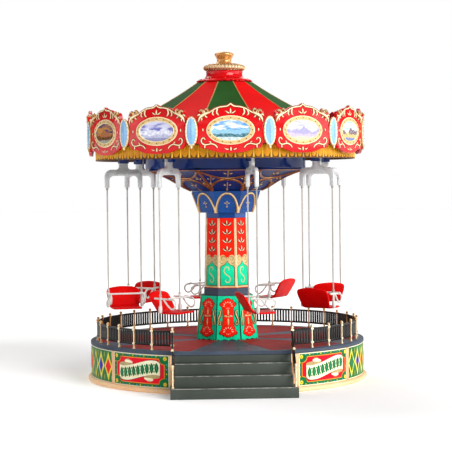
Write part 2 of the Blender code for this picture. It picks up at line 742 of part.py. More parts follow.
def fork_shape():
    """A flat fork with rounded shoulders and a wire in each leg, about the pin as origin."""
    outer = LEG_OFFSET + LEG_WIDTH / 2
    inner = LEG_OFFSET - LEG_WIDTH / 2
    top, low, foot = FORK_TOP_EDGE, FORK_LOWER_EDGE, LEG_BOTTOM
    shoulder, crook, fillet = FORK_SHOULDER, FORK_CROOK, FORK_FILLET
    half = [(0.0, low)]
    half += arc(inner - crook, low - crook, crook, 90, 0, 3)
    half += [(inner, foot), (outer, foot)]
    half += arc(outer - shoulder, top - shoulder, shoulder, 0, 90, 4)
    half += arc(STEM_HALF_WIDTH + fillet, top + fillet, fillet, -90, -180, 3)
    half += arc(0.0, PIN_HEIGHT, STEM_HALF_WIDTH, 0, 90, 4)
    drop = Matrix.Translation((0.0, 0.0, -PIN_HEIGHT))
    turn = Matrix.Rotation(math.radians(90), 4, "Z")
    body = plate(mirrored(half), FORK_THICKNESS, drop @ turn)
    wires = [
        rod(WIRE_RADIUS, WIRE_BOTTOM, foot + 2 * MM, 6, drop @ Matrix.Translation((0.0, y, 0.0)))
        for y in (-LEG_OFFSET, LEG_OFFSET)
    ]
    hole = rod(
        PIN_RADIUS + GAP, -FORK_THICKNESS, FORK_THICKNESS, 8, Matrix.Rotation(math.radians(90), 4, "Y")
    )
    return cut(fused([body, *wires]), [hole])


def frame_shape():
    """The white frame of a seat: lug, post, arm and loop each side, and the lap bar, about the pin."""
    shapes = []
    for side in (-1, 1):
        y = side * LEG_OFFSET
        lug_stand = Matrix.Translation((0.0, side * LUG_OFFSET, 0.0))
        post_stand = Matrix.Translation((0.0, y, 0.0))
        shapes.append(rod(LUG_RADIUS, LUG_BOTTOM, LUG_TOP, 6, lug_stand))
        shapes.append(rod(POST_RADIUS, LUG_TOP - MM, WIRE_BOTTOM - GAP, 5, post_stand))
        shapes.append(tube([(x * MM, y, z * MM) for x, z in ARM_ENDS], ARM_RADIUS))
        shapes.append(tube([(x * MM, y, z * MM) for x, z in LOOP_PATH], ARM_RADIUS))
    bar_x, bar_z = (value * MM for value in LAP_BAR_PLACE)
    bar_y = LEG_OFFSET + 2 * ARM_RADIUS
    shapes.append(tube([(bar_x, -bar_y, bar_z), (bar_x, bar_y, bar_z)], ARM_RADIUS))
    made = fused(shapes)
    made.data.transform(Matrix.Translation((0.0, 0.0, -PIN_HEIGHT)))
    return made


def seat_shape():
    """The red seat: a thin bent shell, a flat pan and a leaning, crowned back, about the pin."""
    last_row, last_column = len(SEAT_PATH) - 1, len(SEAT_COLUMNS) - 1
    shape = bmesh.new()
    bmesh.ops.create_grid(shape, x_segments=last_column, y_segments=last_row, size=1.0)
    for vert in shape.verts:
        column = round((vert.co.x + 1.0) / 2 * last_column)
        row = round((vert.co.y + 1.0) / 2 * last_row)
        forwards, height = SEAT_PATH[row]
        lift = BACK_EDGE_LIFT[column] if row == last_row else 0.0
        vert.co = (
            (forwards - 0.6 * lift) * MM,
            SEAT_COLUMNS[column] * SEAT_HALF_WIDTHS[row] * MM,
            (height + lift) * MM - PIN_HEIGHT,
        )
    bmesh.ops.recalc_face_normals(shape, faces=shape.faces)
    seat = from_bmesh(shape)
    wall = seat.modifiers.new("wall", "SOLIDIFY")
    wall.thickness = SEAT_THICKNESS
    wall.offset = 0.0
    wall.use_even_offset = True
    return evaluated(seat)


def build_swings(target, head):
    """Eight swings, each under an empty on its pin."""
    kinds = (
        ("fork", fork_shape(), "fork_silver"),
        ("seat_frame", frame_shape(), "frame_white"),
        ("seat", seat_shape(), "seat_red"),
    )
    for index in range(SWING_COUNT):
        pivot = bpy.data.objects.new(f"swing_pivot_{index + 1}", None)
        target.objects.link(pivot)
        pivot.parent = head
        pivot.matrix_local = place(swing_angle(index), SWING_RADIUS, PIN_HEIGHT)
        for name, shape, colour in kinds:
            if not shape.data.materials:
                shape.data.materials.append(material(colour))
            made = bpy.data.objects.new(f"{name}_{index + 1}", shape.data)
            target.objects.link(made)
            made.parent = pivot
    for _, shape, _ in kinds:
        bpy.data.objects.remove(shape)


def main():
    """Clear the scene and build the ride."""
    for old in list(bpy.data.objects):
        bpy.data.objects.remove(old)
    target = collection("chair_swing_ride")
    head = bpy.data.objects.new("turning_head", None)
    target.objects.link(head)
    build_base(target)
    build_side_panels(target)
    build_steps(target)
    build_fence(target)
    build_step_rails(target)
    build_column(target)
    build_drum(target, head)
    build_roof(target, head)
    build_crown(target, head)
    build_swings(target, head)


main()
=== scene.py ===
"""Looks of a tabletop chair swing ride.

Painted mouldings, gilt scrollwork, a pleated valance, a striped roof and eight hanging seats are modelled
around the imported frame. +Z is up and the steps face -Y. Sizes are in millimetres unless a docstring says
metres. Angles are in degrees, 0 at the front, growing towards +X.
"""

import logging
import math
from collections.abc import Callable, Iterable, Sequence
from dataclasses import dataclass, replace
from enum import Enum
from functools import cache, partial

import bmesh
import bpy
from bmesh.types import BMEdge, BMesh, BMVert
from mathutils import Matrix, Vector


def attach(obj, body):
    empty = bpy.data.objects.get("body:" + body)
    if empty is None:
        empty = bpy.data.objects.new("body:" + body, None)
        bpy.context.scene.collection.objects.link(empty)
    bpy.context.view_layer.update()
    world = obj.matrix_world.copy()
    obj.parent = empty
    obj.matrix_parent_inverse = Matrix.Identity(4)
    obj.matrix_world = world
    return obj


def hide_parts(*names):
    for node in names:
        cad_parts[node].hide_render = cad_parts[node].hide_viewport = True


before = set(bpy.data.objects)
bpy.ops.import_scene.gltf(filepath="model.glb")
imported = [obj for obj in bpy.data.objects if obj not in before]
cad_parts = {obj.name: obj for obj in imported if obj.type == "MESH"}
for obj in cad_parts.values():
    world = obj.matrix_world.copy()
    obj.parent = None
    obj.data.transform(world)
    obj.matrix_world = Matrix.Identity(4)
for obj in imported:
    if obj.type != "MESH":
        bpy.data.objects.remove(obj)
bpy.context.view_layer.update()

LOG = logging.getLogger("swing_ride")
MM = 0.001
RELIEF_CREASE = 75.0
COAT_ROUGHNESS = 0.12
# How softly the painted highlight on a relief's crests fades in.
HIGHLIGHT_FADE = 0.4
WHITE_LIGHT = (1.0, 1.0, 1.0, 1.0)
COLUMN_SIDES = 8
HALF_SIDE_TURN = math.pi / COLUMN_SIDES
Pair = tuple[float, float]
Tier = tuple[Pair, Pair]
Line = tuple[Pair, ...]
Mapper = Callable[[float, float], tuple[Vector, Vector]]


def shifted(x: float = 0.0, y: float = 0.0, z: float = 0.0) -> Matrix:
    """A move."""
    return Matrix.Translation((x * MM, y * MM, z * MM))


def tipped(degrees: float, axis: str = "X") -> Matrix:
    """A turn about one of the axes."""
    return Matrix.Rotation(math.radians(degrees), 4, axis)


def place(angle: float, radius: float = 0.0, height: float = 0.0) -> Matrix:
    """What carries a shape made at the front to an angle, radius and height."""
    return tipped(angle, "Z") @ shifted(0.0, -radius, height)


def around(count: int, radius: float = 0.0, height: float = 0.0, first: float = 0.0) -> list[Matrix]:
    """Even places round the ride's axis, from a first angle on."""
    return [place(first + 360.0 * i / count, radius, height) for i in range(count)]


def linear(code: str) -> tuple[float, float, float, float]:
    """Turn a colour code of six hexadecimal digits into the values that a shader takes.

    Args:
        code: The colour as it looks on a screen, such as E8191C.

    Returns:
        Red, green, blue and an alpha of one.
    """
    values = [int(code[i : i + 2], 16) / 255 for i in (0, 2, 4)]
    red, green, blue = (v / 12.92 if v <= 0.04045 else ((v + 0.055) / 1.055) ** 2.4 for v in values)
    return red, green, blue, 1.0


def smooth(points: Sequence[Pair], spans: int = 4) -> list[Pair]:
    """Draw an even curve through a few points.

    Args:
        points: The points that the curve passes.
        spans: Steps between two of them.

    Returns:
        The curve's points.
    """
    first, last = (
        tuple(2 * end - inner for end, inner in zip(ends, inners))
        for ends, inners in ((points[0], points[1]), (points[-1], points[-2]))
    )
    knots = [first, *points, last]
    made = []
    for a, b, c, d in zip(knots, knots[1:], knots[2:], knots[3:]):
        for t in (step / spans for step in range(spans)):
            made.append(tuple(
                0.5 * (
                    2 * b[k] + (c[k] - a[k]) * t + (2 * a[k] - 5 * b[k] + 4 * c[k] - d[k]) * t**2
                    + (3 * b[k] - a[k] - 3 * c[k] + d[k]) * t**3
                )
                for k in (0, 1)
            ))
    return [*made, tuple(points[-1])]


def both_sides(half: Sequence[Pair]) -> list[Pair]:
    """One half of an outline, and its mirror image back to the start."""
    return [*half, *((-x, z) for x, z in reversed(half) if abs(x) > 1e-6)]


def across_all(half: Sequence[Pair]) -> list[Pair]:
    """The left half of a line up to its middle point, and its mirror image on to the right end."""
    return [*half, *((-x, z) for x, z in reversed(half[:-1]))]


def ellipse(half_width: float, half_height: float, centre: Pair = (0.0, 0.0), steps: int = 32) -> list[Pair]:
    """Points round an ellipse."""
    turns = [2 * math.pi * i / steps for i in range(steps)]
    return [(centre[0] + half_width * math.sin(a), centre[1] - half_height * math.cos(a)) for a in turns]


def arc(x: float, z: float, radius: float, start: float, end: float, steps: int = 8) -> list[Pair]:
    """Points along an arc about a centre; angle 0 points along +X."""
    turns = [math.radians(start + (end - start) * i / steps) for i in range(steps + 1)]
    return [(x + radius * math.cos(a), z + radius * math.sin(a)) for a in turns]


def closed_up(shape: BMesh) -> BMesh:
    """Merge a shape's seams and poles and point its faces outwards.

    Args:
        shape: The shape.

    Returns:
        The same shape.
    """
    bmesh.ops.remove_doubles(shape, verts=shape.verts, dist=0.002 * MM)
    bmesh.ops.dissolve_degenerate(shape, edges=shape.edges, dist=0.001 * MM)
    bmesh.ops.recalc_face_normals(shape, faces=shape.faces)
    return shape


def carried(shape: BMesh, matrix: Matrix) -> BMesh:
    """Carry a shape by a matrix."""
    bmesh.ops.transform(shape, matrix=matrix, verts=shape.verts)
    return shape


def frozen(shape: BMesh, name: str = "shape") -> bpy.types.Mesh:
    """A shape as a mesh; the shape is freed.

    Args:
        shape: The shape.
        name: The mesh's name.

    Returns:
        The mesh.
    """
    mesh = bpy.data.meshes.new(name)
    shape.to_mesh(mesh)
    shape.free()
    return mesh


def gathered(parts: Iterable[BMesh]) -> BMesh:
    """Put several shapes into one, and free them.

    Args:
        parts: The shapes.

    Returns:
        One shape of them all.
    """
    whole = bmesh.new()
    for part in parts:
        held = frozen(part)
        whole.from_mesh(held)
        bpy.data.meshes.remove(held)
    return whole


def repeated(shape: BMesh, matrices: Iterable[Matrix]) -> BMesh:
    """Repeat a shape, once for each matrix, in one bmesh; the pattern is freed.

    Args:
        shape: The pattern.
        matrices: Where each copy goes.

    Returns:
        All the copies.
    """
    whole = bmesh.new()
    pattern = frozen(shape)
    for matrix in matrices:
        copy = pattern.copy()
        copy.transform(matrix)
        whole.from_mesh(copy)
        bpy.data.meshes.remove(copy)
    bpy.data.meshes.remove(pattern)
    return whole


def turned(profile: Sequence[Pair], steps: int, first: float = 0.0) -> BMesh:
    """Turn a profile of (radius, height) all the way round.

    Args:
        profile: The outline, which ends on the axis where the shape is solid.
        steps: Sides of the turned shape.
        first: The angle of its first edge.

    Returns:
        The turned shape.
    """
    shape = bmesh.new()
    verts = [shape.verts.new((0.0, -radius * MM, height * MM)) for radius, height in profile]
    edges = [shape.edges.new(pair) for pair in zip(verts, verts[1:])]
    if profile[0][0] > 0 and profile[-1][0] > 0:
        edges.append(shape.edges.new((verts[-1], verts[0])))
    bmesh.ops.spin(
        shape, geom=[*verts, *edges], cent=(0.0, 0.0, 0.0), axis=(0.0, 0.0, 1.0), dvec=(0.0, 0.0, 0.0),
        angle=math.radians(360.0), steps=steps, use_merge=True, use_duplicate=False,
    )
    return carried(closed_up(shape), place(first))


def swept(
    path: Sequence[Vector], radii: Sequence[float], ups: Sequence[Vector],
    sides: int = 6, flat: float = 1.0, closed: bool = False,
) -> BMesh:
    """Sweep a round or flattened section along a path in metres.

    Args:
        path: Points of the path.
        radii: The section's half width at each point, in metres.
        ups: The way the section's thickness points, at each point.
        sides: Sides of the section.
        flat: Thickness as a share of the width.
        closed: Whether the path is a ring.

    Returns:
        The swept bar.
    """
    count = len(path)
    places = []
    for i, point in enumerate(path):
        ahead = path[(i + 1) % count] if closed else path[min(i + 1, count - 1)]
        behind = path[i - 1] if closed else path[max(i - 1, 0)]
        along = (ahead - behind).normalized()
        across = along.cross(ups[i]).normalized()
        basis = Matrix((across, across.cross(along), along)).transposed().to_4x4()
        size = Matrix.Diagonal((radii[i], radii[i] * flat, 1.0, 1.0))
        places.append(Matrix.Translation(point) @ basis @ size)
    if closed:
        places.append(places[0])
    shape = bmesh.new()
    bmesh.ops.create_circle(shape, cap_ends=not closed, segments=sides, radius=1.0, matrix=places[0])
    edges = list(shape.edges)
    for before, after in zip(places, places[1:]):
        grown = bmesh.ops.extrude_edge_only(shape, edges=edges)["geom"]
        edges = [part for part in grown if isinstance(part, BMEdge)]
        verts = [part for part in grown if isinstance(part, BMVert)]
        bmesh.ops.transform(shape, matrix=after @ before.inverted(), verts=verts)
    if not closed:
        bmesh.ops.edgeloop_fill(shape, edges=edges)
    return closed_up(shape)


def bevelled(shape: BMesh, edges: Sequence[BMEdge], width: float) -> BMesh:
    """Round some of a shape's edges.

    Args:
        shape: The shape.
        edges: The edges to round.
        width: The width of the rounding.

    Returns:
        The same shape.
    """
    bmesh.ops.bevel(
        shape, geom=edges, offset=width * MM, offset_type="OFFSET", segments=2, profile=0.5, affect="EDGES",
        clamp_overlap=True, material=-1,
    )
    return shape


def rounded(shape: BMesh, width: float, sharper: float = 30.0) -> BMesh:
    """Round the edges of a shape that are sharper than an angle."""
    sharp = [e for e in shape.edges if e.is_manifold and e.calc_face_angle(0.0) > math.radians(sharper)]
    return bevelled(shape, sharp, width)


def plated(outline: Sequence[Pair], front: float, back: float = 0.3, edge: float = 0.0) -> BMesh:
    """Make a flat outline a plate that faces -Y.

    Args:
        outline: Points as (across, height).
        front: How far the plate stands out.
        back: How far it is let in.
        edge: Width of the bevel round its front.

    Returns:
        The closed plate.
    """
    shape = bmesh.new()
    rim = shape.faces.new([shape.verts.new((x * MM, back * MM, z * MM)) for x, z in outline])
    grown = bmesh.ops.extrude_face_region(shape, geom=[rim])["geom"]
    moved = [part for part in grown if isinstance(part, BMVert)]
    bmesh.ops.translate(shape, vec=(0.0, -(front + back) * MM, 0.0), verts=moved)
    bmesh.ops.recalc_face_normals(shape, faces=shape.faces)
    if edge:
        bevelled(shape, [e for e in shape.edges if all(v in moved for v in e.verts)], edge)
    return shape


def block(low: Sequence[float], high: Sequence[float], edge: float = 0.0) -> BMesh:
    """Make a box between two corners, with its edges rounded.

    Args:
        low: The corner with the smaller coordinates.
        high: The opposite corner.
        edge: Width of the rounding, or 0 for none.

    Returns:
        The box.
    """
    low, high = Vector(low) * MM, Vector(high) * MM
    stretch = Matrix.Translation((low + high) / 2) @ Matrix.Diagonal((*(high - low), 1.0))
    shape = bmesh.new()
    bmesh.ops.create_cube(shape, size=1.0, matrix=stretch)
    return rounded(shape, edge) if edge else shape


def ball(radii: Sequence[float], spot: Matrix, columns: int = 12) -> BMesh:
    """A round or squashed ball at a place.

    Args:
        radii: Its half sizes along its own axes.
        spot: Its place and lean.
        columns: Its sides round the Z axis.

    Returns:
        The ball.
    """
    shape = bmesh.new()
    size = Matrix.Diagonal((*(radius * MM for radius in radii), 1.0))
    bmesh.ops.create_uvsphere(shape, u_segments=columns, v_segments=8, radius=1.0, matrix=spot @ size)
    return shape


def rod(radius: float, length: float, spot: Matrix) -> BMesh:
    """A round rod at a place, along its Z axis.

    Args:
        radius: Its radius.
        length: Its length.
        spot: Its place and lean.

    Returns:
        The rod.
    """
    shape = bmesh.new()
    bmesh.ops.create_cone(
        shape, cap_ends=True, segments=16, radius1=radius * MM, radius2=radius * MM, depth=length * MM,
        matrix=spot,
    )
    return shape


def dot(across: float, up: float, radius: float, rise: float, sides: int = 8) -> BMesh:
    """A low round stud that faces -Y.

    Args:
        across: Its place across.
        up: Its height.
        radius: Its radius.
        rise: How far it stands out.
        sides: Its sides.

    Returns:
        The stud.
    """
    shape = bmesh.new()
    squash = Matrix.Diagonal((radius * MM, rise * MM, radius * MM, 1.0))
    matrix = shifted(across, 0.0, up) @ squash @ tipped(90)
    bmesh.ops.create_uvsphere(shape, u_segments=sides, v_segments=4, radius=1.0, matrix=matrix)
    return shape


def cut_away(shape: BMesh, cutter: BMesh) -> BMesh:
    """Take one closed shape out of another; both are freed, and what is left comes back.

    Args:
        shape: What is cut.
        cutter: What is taken out of it.

    Returns:
        What is left.
    """
    body, tool = (bpy.data.objects.new("cut", frozen(form)) for form in (shape, cutter))
    for thing in (body, tool):
        bpy.context.scene.collection.objects.link(thing)
    step = body.modifiers.new("cut", "BOOLEAN")
    step.operation, step.solver, step.object = "DIFFERENCE", "EXACT", tool
    left = bmesh.new()
    left.from_mesh(body.evaluated_get(bpy.context.evaluated_depsgraph_get()).to_mesh())
    for mesh in (body.data, tool.data):
        bpy.data.meshes.remove(mesh)
    return left


def wrapped(shape: BMesh, mapper: Mapper, every: float = 0.0) -> BMesh:
    """Lay a flat shape on a surface.

    Args:
        shape: A shape that faces -Y, about y = 0.
        mapper: Gives the surface's point and normal for a place across and up it.
        every: Spacing of the upright cuts that let the shape bend, or 0 for none.

    Returns:
        The same shape, bent and moved.
    """
    if every:
        low, high = (end(v.co.x for v in shape.verts) for end in (min, max))
        count = math.ceil((high - low) / (every * MM))
        for i in range(1, count):
            spot = (low + (high - low) * i / count, 0.0, 0.0)
            parts = [*shape.verts, *shape.edges, *shape.faces]
            bmesh.ops.bisect_plane(
                shape, geom=parts, dist=0.001 * MM, plane_co=spot, plane_no=(1.0, 0.0, 0.0)
            )
    for vert in shape.verts:
        point, normal = mapper(vert.co.x, vert.co.z)
        vert.co = point - normal * vert.co.y
    return shape


def on_wall(radius: float, angle: float) -> Mapper:
    """A mapper on to a round wall, centred on an angle.

    Args:
        radius: The wall's radius.
        angle: Where the middle of a shape comes.

    Returns:
        The mapper.
    """

    def mapper(across: float, up: float) -> tuple[Vector, Vector]:
        """The wall's point and normal, in metres.

        Args:
            across: Distance round the wall, in metres.
            up: Height, in metres.

        Returns:
            The point and the normal there.
        """
        turn = math.radians(angle) + across / (radius * MM)
        normal = Vector((math.sin(turn), -math.cos(turn), 0.0))
        return normal * radius * MM + Vector((0.0, 0.0, up)), normal

    return mapper


def stretch_at(curve: Sequence[Pair], height: float) -> tuple[float, float]:
    """How far out a side is at a height, and its slope.

    Args:
        curve: Distances from the axis and their heights, from low to high.
        height: The height.

    Returns:
        The distance, and its growth with height.
    """
    i = max(k for k in range(len(curve) - 1) if k == 0 or curve[k][1] <= height)
    (low_out, low), (high_out, high) = curve[i], curve[i + 1]
    slope = (high_out - low_out) / (high - low)
    return low_out + slope * (height - low), slope


def on_facet(curve: Sequence[Pair], angle: float) -> Mapper:
    """A mapper on to one side of a many-sided shape.

    Args:
        curve: The side's distance from the axis and height, from low to high.
        angle: The way the side faces.

    Returns:
        The mapper.
    """
    turn = Matrix.Rotation(math.radians(angle), 3, "Z")

    def mapper(across: float, up: float) -> tuple[Vector, Vector]:
        """The side's point and normal, in metres."""
        out, slope = stretch_at(curve, up / MM)
        return turn @ Vector((across, -out * MM, up)), turn @ Vector((0.0, -1.0, -slope)).normalized()

    return mapper


@dataclass(frozen=True)
class Stroke:
    """One raised stroke of ornament.

    Args:
        points: Places that the stroke passes.
        width: Its full width where it is widest.
        taper: Shares of that width at its start, middle and end.
        spans: Steps between two points.
        closed: Whether it is a ring.
        flat: Its height above the surface as a share of its half width.
    """

    points: Line
    width: float
    taper: tuple[float, float, float] = (0.25, 1.0, 0.25)
    spans: int = 3
    closed: bool = False
    flat: float = 0.8

    def mirrored(self) -> "Stroke":
        """The stroke on the other side of the middle."""
        return replace(self, points=tuple((-x, z) for x, z in self.points))

    def widened(self, extra: float, flat: float) -> "Stroke":
        """The stroke with a wider and flatter section, to lie under it as a dark outline or a painted shadow.
        """
        return replace(self, width=self.width + extra, flat=flat)

    def half_at(self, share: float) -> float:
        """The stroke's half width at a share of its length.

        Args:
            share: The share, from 0 to 1.

        Returns:
            The half width.
        """
        start, middle, end = self.taper
        if self.closed:
            return self.width / 2
        if share < 0.5:
            return (start + (middle - start) * math.sin(share * math.pi)) * self.width / 2
        return (middle + (end - middle) * (1 - math.cos((share * 2 - 1) * math.pi / 2))) * self.width / 2

    def raised(self, mapper: Mapper, sides: int = 6) -> BMesh:
        """The stroke as a bar of a few sides that lies half sunk in a surface.

        Args:
            mapper: The surface.
            sides: Sides of the bar.

        Returns:
            The bar.
        """
        line = smooth(self.points, self.spans)
        radii = [self.half_at(i / (len(line) - 1)) * MM for i in range(len(line))]
        laid = [mapper(x * MM, z * MM) for x, z in line]
        path, ups = [point for point, _ in laid], [normal for _, normal in laid]
        return swept(path, radii, ups, sides, self.flat, self.closed)


def paired(strokes: Iterable[Stroke]) -> list[Stroke]:
    """Each stroke and its mirror image."""
    return [mark for stroke in strokes for mark in (stroke, stroke.mirrored())]


class Tree:
    """A shader's node tree being built."""

    def __init__(self, tree: bpy.types.NodeTree) -> None:
        """Keep the tree and empty it."""
        self.tree = tree
        tree.nodes.clear()

    def add(self, kind: str, inputs: dict | None = None, **settings: object) -> bpy.types.Node:
        """Add a node, set it up and feed it.

        Args:
            kind: The node's type.
            inputs: Values, or the sockets of other nodes, for its inputs by name or number.
            settings: Its own properties.

        Returns:
            The node.
        """
        node = self.tree.nodes.new(kind)
        for name, value in settings.items():
            setattr(node, name, value)
        for key, value in (inputs or {}).items():
            if isinstance(value, bpy.types.NodeSocket):
                self.tree.links.new(value, node.inputs[key])
            else:
                node.inputs[key].default_value = value
        return node

    def sums(self, operation: str, *values: object) -> bpy.types.NodeSocket:
        """The result of a sum on numbers or sockets."""
        return self.add("ShaderNodeMath", dict(enumerate(values)), operation=operation).outputs[0]

    def vectors(self, operation: str, *values: object) -> bpy.types.bpy_prop_collection:
        """The outputs of a sum on vectors."""
        return self.add("ShaderNodeVectorMath", dict(enumerate(values)), operation=operation).outputs

    def blend(self, share: object, first: object, second: object, kind: str = "MIX") -> bpy.types.NodeSocket:
        """A colour between two others."""
        feed = {0: share, 6: first, 7: second}
        return self.add("ShaderNodeMix", feed, data_type="RGBA", blend_type=kind).outputs[2]

    def noise(self, scale: object, detail: float, vector: object) -> bpy.types.NodeSocket:
        """A soft noise value over the piece."""
        return self.add("ShaderNodeTexNoise", {"Scale": scale, "Detail": detail, "Vector": vector}).outputs[0]

    def spread(self, value: object, *ends: object) -> bpy.types.NodeSocket:
        """A value mapped from one range on to another, the ends of both given in turn, and kept inside it."""
        return self.add("ShaderNodeMapRange", dict(enumerate((value, *ends))), clamp=True).outputs[0]

    def surface(self, feed: dict) -> None:
        """End a material's tree with a principled surface and what feeds it."""
        shader = self.add("ShaderNodeBsdfPrincipled", feed)
        self.add("ShaderNodeOutputMaterial", {"Surface": shader.outputs[0]})


def new_material(name: str) -> tuple[bpy.types.Material, Tree]:
    """An empty material, and its tree.

    Args:
        name: The material's name.

    Returns:
        The material and its tree.
    """
    made = bpy.data.materials.new(name)
    made.use_nodes = True
    return made, Tree(made.node_tree)


def new_group(name: str, inputs: dict[str, str], outputs: dict[str, str]) -> bpy.types.ShaderNodeTree:
    """Start a shader node group; its sockets' types are given by name.

    Args:
        name: The group's name.
        inputs: Socket type by name.
        outputs: Socket type by name.

    Returns:
        The empty group.
    """
    group = bpy.data.node_groups.new(name, "ShaderNodeTree")
    for sockets, side in ((inputs, "INPUT"), (outputs, "OUTPUT")):
        for socket, kind in sockets.items():
            group.interface.new_socket(name=socket, in_out=side, socket_type=f"NodeSocket{kind}")
    return group


@cache
def brushed_group() -> bpy.types.ShaderNodeTree:
    """Uneven hand brushed paint: broad patches, fine specks and a soft grain.

    Returns:
        The node group.
    """
    group = new_group(
        "brushed_paint",
        {
            "Colour": "Color", "Shade": "Color", "Patch Scale": "Float", "Grain Scale": "Float",
            "Roughness": "Float",
        },
        {"Colour": "Color", "Roughness": "Float", "Height": "Float"},
    )
    tree = Tree(group)
    given = tree.add("NodeGroupInput").outputs
    spot = tree.add("ShaderNodeTexCoord").outputs["Object"]
    patch = tree.spread(tree.noise(given["Patch Scale"], 3.0, spot), 0.35, 0.7, 0.0, 1.0)
    fine = tree.noise(given["Grain Scale"], 4.0, spot)
    toned = tree.blend(patch, given["Colour"], given["Shade"])
    final = tree.blend(1.0, toned, tree.spread(fine, 0.3, 0.75, 0.9, 1.08), "MULTIPLY")
    rough = tree.sums("ADD", given["Roughness"], tree.spread(fine, 0.3, 0.7, -0.07, 0.07))
    height = tree.sums("ADD", fine, tree.sums("MULTIPLY", patch, 0.4))
    tree.add("NodeGroupOutput", {"Colour": final, "Roughness": rough, "Height": height})
    return group


@cache
def painted_highlight_group() -> bpy.types.ShaderNodeTree:
    """A painted highlight mask of a relief's crests: one where it faces away from the ride's axis or up, zero
    on its sides.

    Returns:
        The node group.
    """
    group = new_group("relief_painted_highlight", {"From": "Float", "To": "Float"}, {"Mask": "Float"})
    tree = Tree(group)
    given = tree.add("NodeGroupInput").outputs
    where = tree.add("ShaderNodeTexCoord").outputs
    level = tree.vectors("MULTIPLY", where["Object"], (1.0, 1.0, 0.0))[0]
    out = tree.vectors("DOT_PRODUCT", tree.vectors("NORMALIZE", level)[0], where["Normal"])["Value"]
    upwards = tree.add("ShaderNodeSeparateXYZ", {0: where["Normal"]}).outputs[2]
    best = tree.sums("MAXIMUM", out, tree.sums("MULTIPLY", upwards, 0.9))
    rough = tree.spread(tree.noise(900.0, 2.0, where["Object"]), 0.3, 0.7, -0.05, 0.05)
    ragged = tree.sums("ADD", best, rough)
    tree.add("NodeGroupOutput", {"Mask": tree.spread(ragged, given["From"], given["To"], 0.0, 1.0)})
    return group


@dataclass(frozen=True)
class Paint:
    """A painted or moulded finish.

    Args:
        name: The material's name.
        colour: Its main colour code.
        shade: The colour of its darker or lighter patches.
        roughness: How matt it is.
        metallic: How metallic it is.
        coat: How thick its clear gloss is.
        gloss: How strongly its surface mirrors.
        patch: Size of a patch.
        grain: Size of its grain.
        relief: Depth of its grain.
        crest: Painted highlight colour laid on the crests of a relief that face out from the axis or up, if
            any.
        highlight_from: How squarely a face must point outwards before the painted highlight starts.
    """

    name: str
    colour: str
    shade: str
    roughness: float = 0.35
    metallic: float = 0.0
    coat: float = 0.0
    gloss: float = 0.22
    patch: float = 18.0
    grain: float = 1.2
    relief: float = 0.02
    crest: str | None = None
    highlight_from: float = 0.55

    @cache
    def material(self) -> bpy.types.Material:
        """The finish as a material, built the first time it is asked for.

        Returns:
            The material.
        """
        made, tree = new_material(self.name)
        feed = {
            "Colour": linear(self.colour), "Shade": linear(self.shade), "Patch Scale": 1 / (self.patch * MM),
            "Grain Scale": 1 / (self.grain * MM), "Roughness": self.roughness,
        }
        paint = tree.add("ShaderNodeGroup", feed, node_tree=brushed_group()).outputs
        colour = paint["Colour"]
        # Painted highlight: the crest colour is blended in where the relief faces out from the axis or up.
        if self.crest:
            ends = {"From": self.highlight_from, "To": min(self.highlight_from + HIGHLIGHT_FADE, 1.0)}
            mask = tree.add("ShaderNodeGroup", ends, node_tree=painted_highlight_group()).outputs["Mask"]
            colour = tree.blend(mask, colour, linear(self.crest))
        bump = tree.add("ShaderNodeBump", {"Height": paint["Height"], "Distance": self.relief * MM})
        tree.surface({
            "Base Color": colour, "Roughness": paint["Roughness"], "Metallic": self.metallic,
            "Coat Weight": self.coat, "Coat Roughness": COAT_ROUGHNESS, "Specular IOR Level": self.gloss,
            "Normal": bump.outputs["Normal"],
        })
        return made


def finished(
    name: str, shape: BMesh, paint: "Paint | PaintedView", *nodes: str, body: str, slot: str,
    crease: float = 35.0,
) -> bpy.types.Object:
    """Make a shape a finished piece of the ride.

    Args:
        name: The piece's name.
        shape: Its shape, which is freed.
        paint: Its finish.
        nodes: The solids that it stands for.
        body: The body that it rides on.
        slot: The record's material slot; not used.
        crease: Edges sharper than this angle stay sharp.

    Returns:
        The piece's object.
    """
    mesh = frozen(shape, name)
    mesh.shade_smooth()
    mesh.set_sharp_from_angle(angle=math.radians(crease))
    mesh.materials.append(paint.material())
    made = bpy.data.objects.new(name, mesh)
    bpy.context.scene.collection.objects.link(made)
    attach(made, body)
    if nodes:
        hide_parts(*nodes)
    LOG.info("%s: %d faces", name, len(mesh.polygons))
    return made


TAN = Paint("tan_resin", "F8C492", "FCD4A8", 0.5, patch=26)
PILASTER_PAINT = Paint("pilaster_cream", "E8B084", "F0C498", 0.45, patch=12)
COVER_GREY = Paint("cover_grey", "3C3E3C", "343634", 0.5, patch=30)
SLATE = Paint("slate_paint", "4A5464", "3E4856", 0.5, gloss=0.12, patch=22)
MAROON = Paint("maroon_paint", "A02C28", "8E2624", 0.6, gloss=0.06, patch=16)
DARK_RED = Paint("dark_red_spots", "5E0810", "7A1018", 0.4)
TREAD_GREY = Paint("tread_grey", "464C45", "3C423C", 0.5, patch=30, grain=0.8)
# A painted highlight for the treads' front edges.
TREAD_HIGHLIGHT = Paint("tread_edge_highlight", "A8A8A0", "565C54", 0.45, patch=7)
BLACK = Paint("railing_black", "12100E", "1E1B17", 0.32, coat=0.1)
